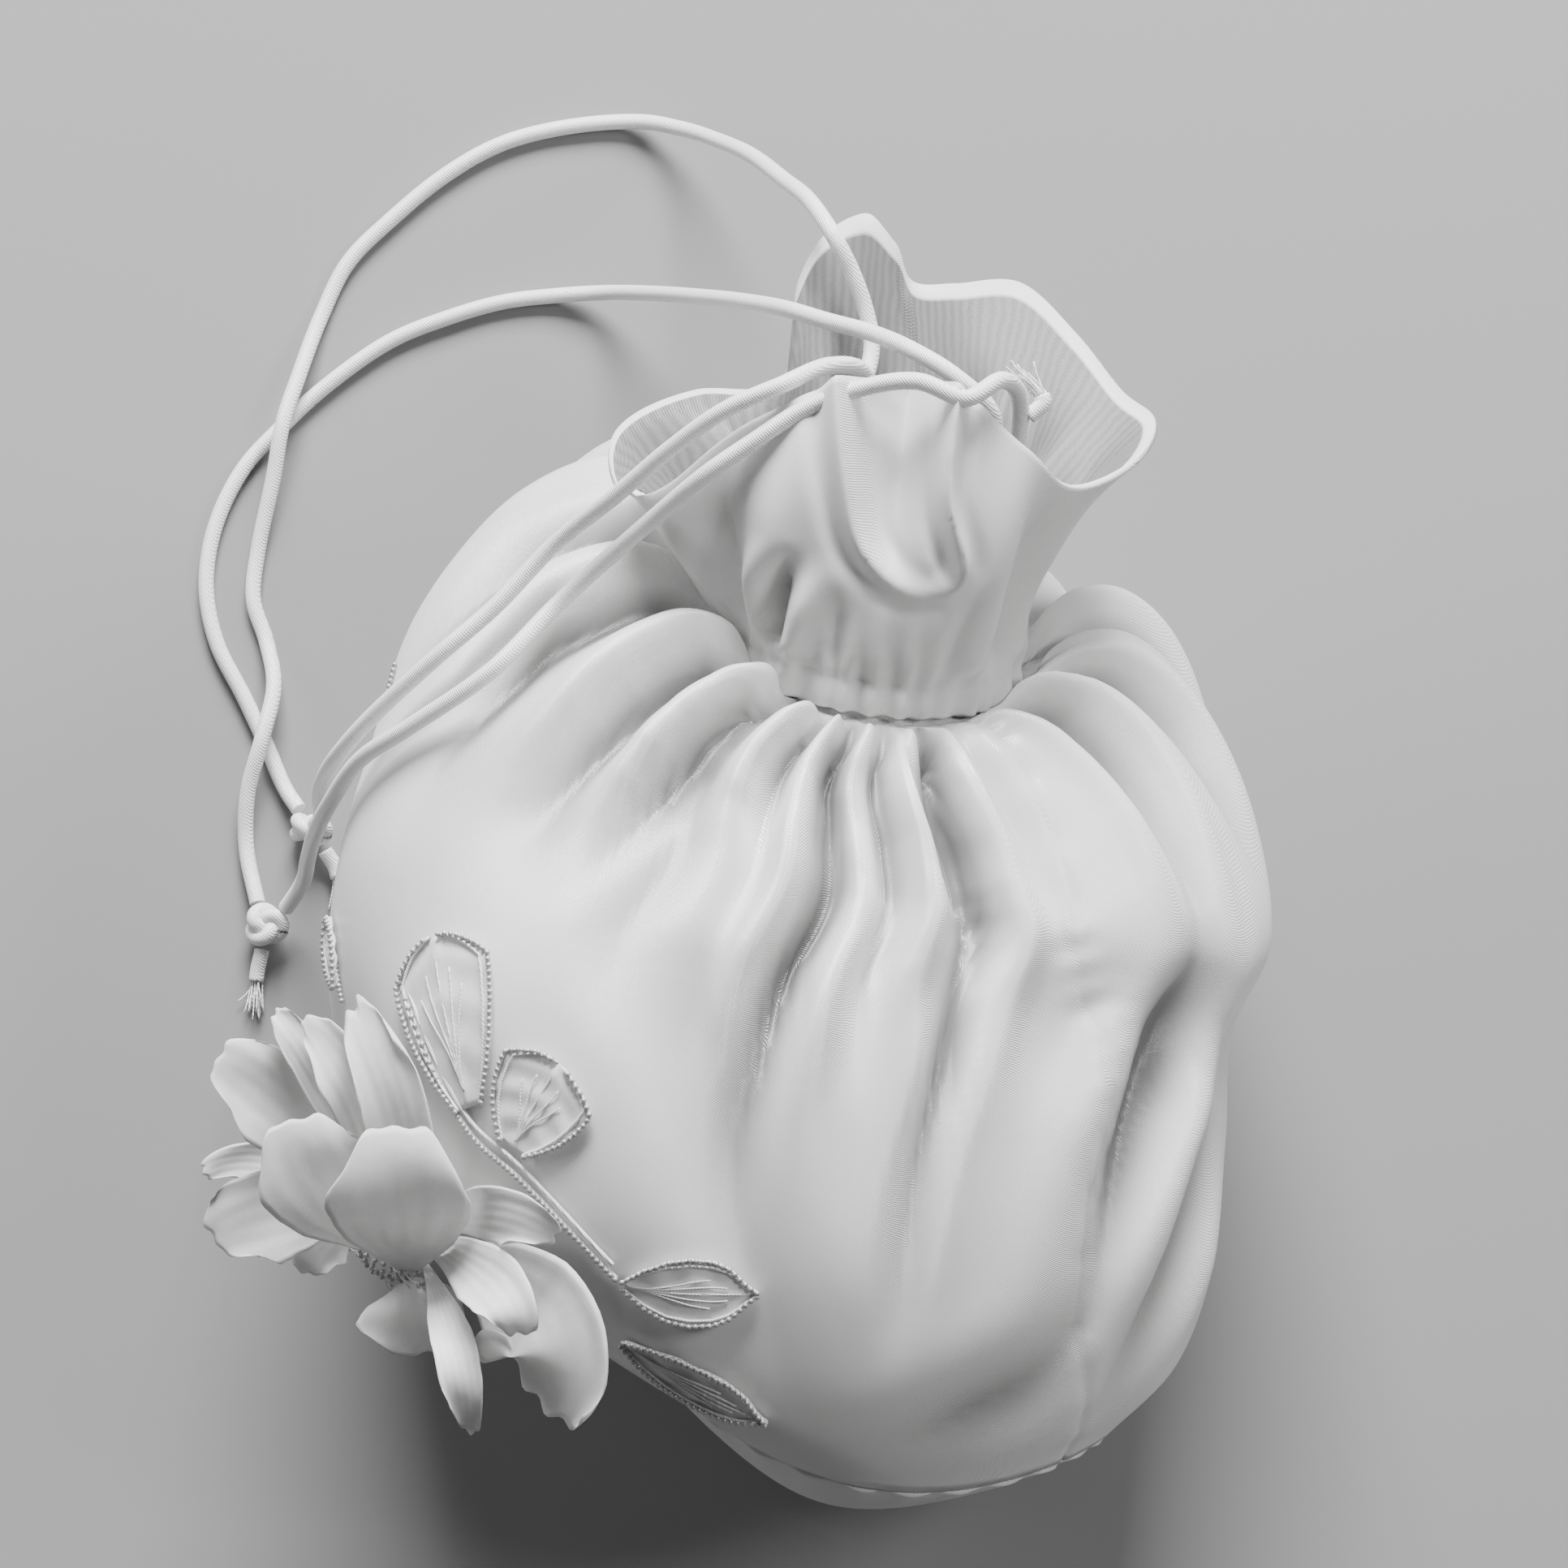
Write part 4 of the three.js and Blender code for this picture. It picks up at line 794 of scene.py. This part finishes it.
@made_once
def frill_satin_painted_lining_shade(colours):
    """Satin outside and at the hem, and a lining within painted dark as shade, in stripes, told apart by the
    cloth's own UV.
    """
    material = satin_material("frill_satin_painted_lining_shade", colours, roughness=0.42, sheen=0.2, shine=0.5)
    tree = material.node_tree
    place = add_node(tree, "ShaderNodeUVMap", uv_map="cloth")
    apart = add_node(tree, "ShaderNodeSeparateXYZ")
    # Painted shade on the lining: where the UV says lining, the colour goes to 0.2 to 0.27 of the satin's, in
    # stripes
    inside = add_node(tree, "ShaderNodeMapRange", {"From Min": LINING_PAINTED_SHADE_EDGE, "From Max": LINING_PAINTED_SHADE_FULL})
    outside = add_node(tree, "ShaderNodeMath", {1: LINING_PAINTED_SHADE_END}, operation="LESS_THAN")
    lining = add_node(tree, "ShaderNodeMath", operation="MULTIPLY")
    stripes = add_node(tree, "ShaderNodeTexWave", {"Scale": 40, "Distortion": 3})
    lining_painted_shade_tones = {"A": dimmed(colours.satin, 0.2), "B": dimmed(colours.satin, 0.27)}
    lining_painted_shade = add_node(tree, "ShaderNodeMix", lining_painted_shade_tones, data_type="RGBA")
    shade_mix_node = cover_colour(tree, lining.outputs[0])
    link(tree,
         (place, "UV", apart, "Vector"), (place, "UV", stripes, "Vector"), (apart, "Y", inside, "Value"),
         (apart, "Y", outside, 0), (inside, "Result", lining, 0), (outside, 0, lining, 1),
         (stripes, "Fac", lining_painted_shade, "Factor"), (lining_painted_shade, "Result", shade_mix_node, "B"))
    return material


@made_once
def white_organza(colours):
    return cloth_material("white_organza", colours.organza, roughness=0.5, sheen=0.3, threads=2200,
                          creases=220, bump=0.00025, darkest=0.95, alpha=(0.66, 0.95))


@made_once
def satin_cord(colours):
    return cloth_material("satin_cord", colours.cord, roughness=0.34, sheen=0.2, threads=900,
                          creases=300, bump=0.00015, darkest=0.93, thread_height=0.8)


@made_once
def silver_beads(colours):
    material = cloth_material("silver_beads", colours.bead, roughness=0.22, sheen=0, threads=700,
                              creases=900, bump=0.0001, darkest=0.4)
    material.node_tree.nodes["Principled BSDF"].inputs["Metallic"].default_value = 0.4
    return material


@made_once
def pale_floor(colours):
    material = bpy.data.materials.new("pale_floor")
    material.use_nodes = True
    tree = material.node_tree
    shader = tree.nodes["Principled BSDF"]
    shader.inputs["Roughness"].default_value = 0.9
    place = add_node(tree, "ShaderNodeTexCoord")
    grain = add_node(tree, "ShaderNodeTexNoise", {"Scale": 3})
    tones = {"A": (0.22, 0.22, 0.22, 1), "B": (0.25, 0.25, 0.25, 1)}
    tone = add_node(tree, "ShaderNodeMix", tones, data_type="RGBA")
    link(tree,
         (place, "Object", grain, "Vector"), (grain, "Fac", tone, "Factor"),
         (tone, "Result", shader, "Base Color"))
    return material


# Operators


class BAG_OT_stage(bpy.types.Operator):
    """Makes the camera, the lights and the floor."""

    bl_idname = "bag.stage"
    bl_label = "Stage"

    def execute(self, context):
        across, away, back = (Vector(way) for way in view_directions())
        bpy.ops.object.camera_add(location=Vector(VIEW_TARGET) + back * VIEW_DISTANCE)
        camera = context.object
        camera.name = "camera"
        camera.rotation_euler = Matrix((across, away, back)).transposed().to_euler()
        camera.data.lens = LENS
        camera.data.sensor_width = SENSOR
        camera.data.clip_start = 0.05
        camera.data.dof.use_dof = False
        context.scene.camera = camera
        bpy.ops.mesh.primitive_plane_add(size=6, location=(0, 0, 0))
        floor = context.object
        floor.name = "floor"
        floor.data.materials.append(pale_floor())
        for name, place, size, power in LIGHTS:
            bpy.ops.object.light_add(type="AREA", location=place)
            light = context.object
            light.name = name
            light.data.size = size
            light.data.energy = power
            light.rotation_euler = (Vector(place) - Vector(LIGHT_AIM)).to_track_quat("Z", "Y").to_euler()
        world = context.scene.world or bpy.data.worlds.new("studio")
        context.scene.world = world
        world.use_nodes = True
        sky = world.node_tree.nodes["Background"]
        sky.inputs["Color"].default_value = (1, 1, 1, 1)
        sky.inputs["Strength"].default_value = 0.09
        return {"FINISHED"}


def knot_line(centre, level):
    """The closed line of a knot's cord, lying level or standing on its edge."""
    turn = np.linspace(0, 2 * math.pi, 96, endpoint=False)
    reach = 2 + np.cos(3 * turn)
    line = np.stack([reach * np.cos(2 * turn), reach * np.sin(2 * turn), 1.3 * np.sin(3 * turn)], axis=1)
    return np.array(centre) + 1.02 * (line if level else line[:, [0, 2, 1]])


def frayed_end(name, points, seed):
    """A short cord end that opens into loose threads."""
    chance = np.random.default_rng(seed)
    line = curve_through(points, np.linspace(0, 1, 24))
    lines = [(line[:15], TAIL_RADIUS, 12)]
    for _ in range(26):
        angle, reach = chance.uniform(0, 2 * math.pi), chance.uniform(0.2, 1.2)
        drift = chance.normal(0, 1.1, 3)
        drift[2] = abs(drift[2]) * 0.3
        share = np.linspace(0, 1, len(line) - 13)[:, None]
        side = np.array([math.cos(angle), math.sin(angle) * 0.6, math.sin(angle)]) * reach
        ends = line[13:] + side + drift * share ** 1.5
        ends[:, 2] = np.maximum(ends[:, 2], 0.25)
        lines.append((ends, 0.14, 5))
    return place_piece(joined_tubes(name + "_frayed", lines), satin_cord(), [name])


def cord_curve(name, points, diameter):
    """A round cord along its route."""
    line = curve_through(points, np.linspace(0, 1, 220)) / 1000
    data = bpy.data.curves.new(name, "CURVE")
    data.dimensions = "3D"
    data.bevel_depth = diameter / 2
    data.bevel_resolution = 4
    data.use_fill_caps = True
    spline = data.splines.new("POLY")
    spline.points.add(len(line) - 1)
    spline.points.foreach_set("co", np.hstack([line, np.ones((len(line), 1))]).ravel())
    spline.use_smooth = True
    return data


class BAG_OT_cords(bpy.types.Operator):
    """Makes the satin cords, their knots and their frayed ends."""

    bl_idname = "bag.cords"
    bl_label = "Cords"

    def execute(self, context):
        diameter = context.scene.bag_sizes.cord_diameter
        knots, tails = {}, {}
        for name, (centre, tail, level, seed) in KNOTS.items():
            wraps = [(knot_line(centre, level), KNOT_RADIUS, 12)]
            mesh = joined_tubes(name + "_wraps", wraps, closed=True)
            knots[name] = place_piece(mesh, satin_cord(), [name])
            tails[name] = frayed_end(name.replace("knot", "tail"), tail, seed)
        tail_neck = frayed_end("tail_neck", NECK_TAIL, 5)
        for name, points in CORDS.items():
            data = cord_curve(name + "_line", points, diameter)
            piece = place_piece(data, satin_cord(), [name])
        return {"FINISHED"}


class BAG_OT_pouch(bpy.types.Operator):
    """Makes the gathered pouch wall and the casing."""

    bl_idname = "bag.pouch"
    bl_label = "Pouch"

    def execute(self, context):
        cloth = context.scene.bag_sizes.cloth * 1000
        turn = cloth_ring(POUCH_SIDES)
        rows = 1 - (1 - np.linspace(0, 1, POUCH_ROWS)) ** 1.35
        radius = NECK_RADIUS + 0.35 * gathers(turn) - 1.4
        outer = [wall_point(turn, along) for along in rows]
        outer += [neck_point(turn, radius, along) for along in (-2.9, -1.4)]
        inner = [neck_point(turn, radius - 1, along) for along in (-1.4, -2.9)]
        inner += [wall_point(turn, along, -cloth) for along in np.linspace(1, 0, POUCH_LINING_ROWS)]
        mesh = cloth_mesh("pouch_wall", outer + inner)
        # Painted shade in the folds: how deep each outer point lies in a fold, which darkens the satin's
        # colour there
        painted_fold_shade = np.zeros(len(mesh.vertices), np.float32)
        pressed = wall_press(*np.broadcast_arrays(turn[None], rows[:, None]))
        painted_fold_shade[:pressed.size] = np.clip((-0.5 - pressed) / 5, 0, 1).ravel()
        mesh.attributes.new("painted_fold_shade", "FLOAT", "POINT").data.foreach_set("value", painted_fold_shade)
        pouch = place_piece(mesh, pouch_satin_painted_fold_shade(), ["pouch_front", "pouch_back"])

        turn = cloth_ring(CASING_SIDES)
        radius = NECK_RADIUS + small_pleats(turn) - 0.9
        half = CASING / 2 - SOLID_GAP
        outer = ((-1.6, 1 - half), (-0.2, 0.4 - half), (0.5, 0), (0.3, half * 0.6), (-0.4, half))
        inner = ((-2.4, half), (-2.4, 0), (-2.4, 1.5 - half))
        rings = [neck_point(turn, radius + rise, along) for rise, along in outer + inner]
        band = place_piece(cloth_mesh("casing_band", rings), ivory_satin(), ["casing"])
        return {"FINISHED"}


class BAG_OT_base(bpy.types.Operator):
    """Makes the round base cloth."""

    bl_idname = "bag.base"
    bl_label = "Base"

    def execute(self, context):
        turn = cloth_ring(BASE_SIDES)
        tuck = BASE_TUCK * unit(wall_point(turn, 0) - wall_point(turn, 0.03))
        edge = wall_point(turn, 0) + tuck
        lining = wall_point(turn, 0, -BASE_CLOTH) + tuck
        middle = edge.mean(axis=0)
        right, top, left, low = edge[::BASE_SIDES // 4]
        out = unit(np.cross(top - low, right - left))
        if out[1] > 0:
            out = -out
        angle = np.radians(turn)
        rings = []
        for share in np.linspace(0.02, 1, 30):
            rise = BASE_RISE * (1 - share ** 2) + 0.5 * np.sin(angle * 31) * share ** 10
            rise += 0.7 * np.sin(angle * 4 + 1) * share ** 2 * (1 - share)
            rings.append(middle + (edge - middle) * share + out * rise[:, None])
        for share in np.linspace(1, 0.02, 16):
            rise = (BASE_RISE - BASE_CLOTH) * (1 - share ** 2)
            rings.append(middle + (lining - middle) * share + out * rise)
        base = place_piece(cloth_mesh("base_cloth", rings), ivory_satin(), ["base_panel"])
        return {"FINISHED"}


class BAG_OT_frill(bpy.types.Operator):
    """Makes the frill round the mouth."""

    bl_idname = "bag.frill"
    bl_label = "Frill"

    def execute(self, context):
        turn = cloth_ring(FRILL_SIDES)
        outs = np.linspace(0, 1, FRILL_ROWS)
        rings = [frill_point(turn, out) for out in outs]
        rings.append(frill_point(turn, 1.0, -FRILL_CLOTH / 2) + 0.25 * NECK_AXIS)
        rings += [frill_point(turn, out, -FRILL_CLOTH) for out in outs[::-2]]
        radius = NECK_RADIUS + small_pleats(turn)
        rings += [neck_point(turn, radius + rise, along) for rise, along in FRILL_HANG]
        frill = place_piece(cloth_mesh("frill_cloth", rings), frill_satin_painted_lining_shade(), ["frill"])
        return {"FINISHED"}


def flower_centre():
    """The middle of the flower, whose seat rests on the wall."""
    out = wall_normal(np.array([FLOWER_TURN]), np.array([FLOWER_ALONG]))[0]
    return plain_wall(FLOWER_TURN, FLOWER_ALONG) + out * (SOLID_GAP + RECEPTACLE_RADIUS)


def petal_grid(row, thickness):
    """The upper and lower faces of a petal, as grids from its root to its tip."""
    root, middle, tip, width, roll, cup, waves = row
    centre, directions = flower_centre(), np.array(view_directions())
    root, middle, tip = (centre + np.array(place) @ directions * FLOWER_RADIUS
                         for place in (root, middle, tip))
    width *= FLOWER_RADIUS
    roll = math.radians(roll)

    def spine(run):
        run = run[..., None]
        return (root * (2 * run ** 2 - 3 * run + 1) + middle * (4 * run - 4 * run ** 2)
                + tip * (2 * run ** 2 - run))

    run, wide = sheet_grid(PETAL_ROWS, PETAL_COLUMNS)
    ahead = unit(spine(run + 0.02) - spine(run - 0.02))
    size = np.linalg.norm(tip - root)
    flat = unit(np.cross(ahead, directions[2]))
    side = flat * math.cos(roll) + np.cross(flat, ahead) * math.sin(roll)
    face = np.cross(side, ahead)
    share = outline_share(run, PETAL_OUTLINE)
    seed = width * 7 + size
    ripple = 0.5 * np.sin(wide * math.pi * waves + seed) * run ** 2 * np.abs(wide) ** 1.5
    ripple += 0.35 * np.sin(run * 9 + wide * 3 + seed * 2) * run
    ripple += 0.12 * np.sin(wide * 17 + seed) * run * (1 - run) * 2
    notch = (0.014 * np.cos(wide * math.pi * waves + seed) + 0.012 * np.sin(wide * 11 + seed * 3)) * run ** 4
    share = share * (1 + 0.05 * np.sin(run * 14 + seed * 2 + np.sign(wide)) * run)
    points = (spine(run - (0.12 * wide ** 2 + 0.1 * wide ** 6) * run ** 2 - notch)
              + side * (wide * share * width / 2)[..., None]
              + face * (width * cup * share * wide ** 2 + ripple)[..., None])
    return points, points - face * thickness


class BAG_OT_flower(bpy.types.Operator):
    """Makes the organza flower and its beaded centre."""

    bl_idname = "bag.flower"
    bl_label = "Flower"

    def execute(self, context):
        sizes = context.scene.bag_sizes
        for count, row in enumerate(PETALS, 1):
            name = f"petal_cloth_{count:02d}"
            upper, lower = petal_grid(row, sizes.petal * 1000)
            mesh = sheet_mesh(name, upper, lower)
            petal = place_piece(mesh, white_organza(), [f"petal_{count:02d}"])
        centre = flower_centre()
        bpy.ops.mesh.primitive_uv_sphere_add(segments=40, ring_count=20, radius=RECEPTACLE_RADIUS / 1000)
        ball = context.object.data
        bpy.data.objects.remove(context.object)
        ball.name = "flower_seat"
        ball.transform(Matrix.Translation(Vector(centre / 1000)))
        ball.shade_smooth()
        place_piece(ball, white_organza(), ["flower_receptacle"])

        level = math.cos(FLOWER_RISE)
        aim = np.array([math.cos(FLOWER_HEADING) * level, math.sin(FLOWER_HEADING) * level,
                        math.sin(FLOWER_RISE)])
        edge = unit(np.cross(aim, (0, 0, 1)))
        front = np.cross(edge, aim) * np.sign(np.cross(edge, aim)[2])
        chance = np.random.default_rng(11)
        places, lines = [], []
        for count in range(SEAT_BEADS):
            angle = count * GOLDEN_ANGLE
            lean = 1.15 * math.sqrt((count + 0.5) / SEAT_BEADS)
            ray = aim * math.cos(lean) + (edge * math.cos(angle) + front * math.sin(angle)) * math.sin(lean)
            places.append(centre + ray * (RECEPTACLE_RADIUS + 0.35))
        for count in range(STAMENS):
            angle = count * 2 * math.pi / STAMENS
            reach = chance.uniform(9.5, 13.5)
            ray = edge * reach * math.cos(angle) + front * reach * 0.75 * math.sin(angle)
            place = centre + aim * chance.uniform(3.2, 6) + ray
            start = centre + unit(aim * 4 + ray * 0.45) * RECEPTACLE_RADIUS
            lines.append((np.array([start, (start + place) / 2 + aim * 0.6, place]), 0.15, 5))
            places.append(place)
        place_piece(joined_tubes("flower_threads", lines), satin_cord(), [])
        place_piece(bead_mesh("flower_beads", places, sizes.bead), silver_beads(), [])
        return {"FINISHED"}


def leaf_place(row, run, across):
    """Turn and along of a place on a leaf, from its root to its tip and across its half width."""
    turn, along, tip_turn, tip_along, width, outline = row
    at_turn = turn + (tip_turn - turn) * run
    at_along = along + (tip_along - along) * run
    share = outline_share(run, outline) * np.sqrt(np.clip((1 - run) / 0.22, 0.01, 1))
    ahead = plain_wall(at_turn + (tip_turn - turn) * 0.05, at_along + (tip_along - along) * 0.05)
    here = plain_wall(at_turn, at_along)
    side = unit(np.cross(ahead - here, wall_normal(at_turn, at_along)))
    per_turn = (plain_wall(at_turn + 1, at_along) - plain_wall(at_turn - 1, at_along)) / 2
    per_along = (plain_wall(at_turn, at_along + 0.01) - plain_wall(at_turn, at_along - 0.01)) * 50
    a, b, d = ((p * q).sum(axis=-1) for p, q in (
        (per_turn, per_turn), (per_turn, per_along), (per_along, per_along)))
    reach = across * share * width * LEAF_LENGTH / 2
    p, q = ((side * v).sum(axis=-1) * reach for v in (per_turn, per_along))
    scale = a * d - b * b
    return at_turn + (p * d - q * b) / scale, at_along + (q * a - p * b) / scale


class BAG_OT_leaves(bpy.types.Operator):
    """Makes the organza leaves with their beaded edges and the beaded stem."""

    bl_idname = "bag.leaves"
    bl_label = "Leaves"

    def execute(self, context):
        sizes = context.scene.bag_sizes
        beads, threads = [], []
        for name, row in LEAVES.items():
            run, across = sheet_grid(LEAF_ROWS, LEAF_COLUMNS)
            turn, along = leaf_place(row, run, across)
            vein = 0.35 * np.exp(-(across / 0.1) ** 2) + 0.25 * (np.abs(across) > 0.86)
            pucker = 0.18 * np.sin(run * 23 + np.abs(across) * 4)
            upper = wall_point(turn, along, LEAF_LIFT + vein + pucker)
            lower = wall_point(turn, along, LEAF_LIFT - LEAF_CLOTH + vein + pucker)
            mesh = sheet_mesh(name + "_cloth", upper, lower)
            leaf = place_piece(mesh, white_organza(), [name])
            for side in (-1, 1):
                for reach in (1, 0.84):
                    steps = np.linspace(0, 1, 60)
                    turn, along = leaf_place(row, steps, np.full(steps.shape, side * reach))
                    edge = wall_point(turn, along, 1.5)
                    threads.append((edge, 0.26, 6))
                run = np.append(0, np.cumsum(np.linalg.norm(np.diff(edge, axis=0), axis=1)))
                turn, along = leaf_place(row, np.interp(np.arange(0, run[-1], 1.15), run, steps), side)
                beads += list(wall_point(turn, along, 1.8))
            for vein in (-0.5, -0.25, 0, 0.25, 0.5):
                steps = np.linspace(0.08, 0.9 - 0.5 * abs(vein), 24)
                turn, along = leaf_place(row, steps, vein * smooth(steps, 0, 0.8))
                threads.append((wall_point(turn, along, 1.45), 0.16, 5))
        for shift in (0, 0.009):
            line = curve_through([(t, a + shift, 0) for t, a in STEM], np.linspace(0, 1, 90))
            threads.append((wall_point(line[:, 0], line[:, 1], 0.9), 0.4, 6))
        line = curve_through([(t, a, 0) for t, a in STEM], np.linspace(0, 1, 56))
        beads += list(wall_point(line[:, 0], line[:, 1], 1.4))
        for start, end in BEAD_ROWS:
            beads += list(wall_point(*np.linspace(start, end, 9).T, 0.6))
        place_piece(joined_tubes("leaf_threads", threads), satin_cord(), [])
        place_piece(bead_mesh("leaf_beads", beads, sizes.bead), silver_beads(), ["stem"])
        return {"FINISHED"}


class BAG_PT_panel(bpy.types.Panel):
    """Lists the bag's sizes, colours and pieces."""

    bl_idname = "BAG_PT_panel"
    bl_label = "Bag"
    bl_space_type = "VIEW_3D"
    bl_region_type = "UI"
    bl_category = "Bag"

    def draw(self, context):
        for group in (context.scene.bag_sizes, context.scene.bag_colours):
            for name in group.__annotations__:
                self.layout.prop(group, name)
        for operator in OPERATORS:
            self.layout.operator(operator.bl_idname)


OPERATORS = (BAG_OT_stage, BAG_OT_cords, BAG_OT_pouch, BAG_OT_base, BAG_OT_frill, BAG_OT_flower,
             BAG_OT_leaves)
CLASSES = (BagSizes, BagColours, *OPERATORS, BAG_PT_panel)


def register():
    for item in CLASSES:
        bpy.utils.register_class(item)
    bpy.types.Scene.bag_sizes = PointerProperty(type=BagSizes)
    bpy.types.Scene.bag_colours = PointerProperty(type=BagColours)


def unregister():
    del bpy.types.Scene.bag_sizes
    del bpy.types.Scene.bag_colours
    for item in reversed(CLASSES):
        bpy.utils.unregister_class(item)


def main():
    register()
    bpy.ops.bag.stage()
    bpy.ops.bag.cords()
    bpy.ops.bag.pouch()
    bpy.ops.bag.base()
    bpy.ops.bag.frill()
    bpy.ops.bag.flower()
    bpy.ops.bag.leaves()


if __name__ == "__main__":
    main()
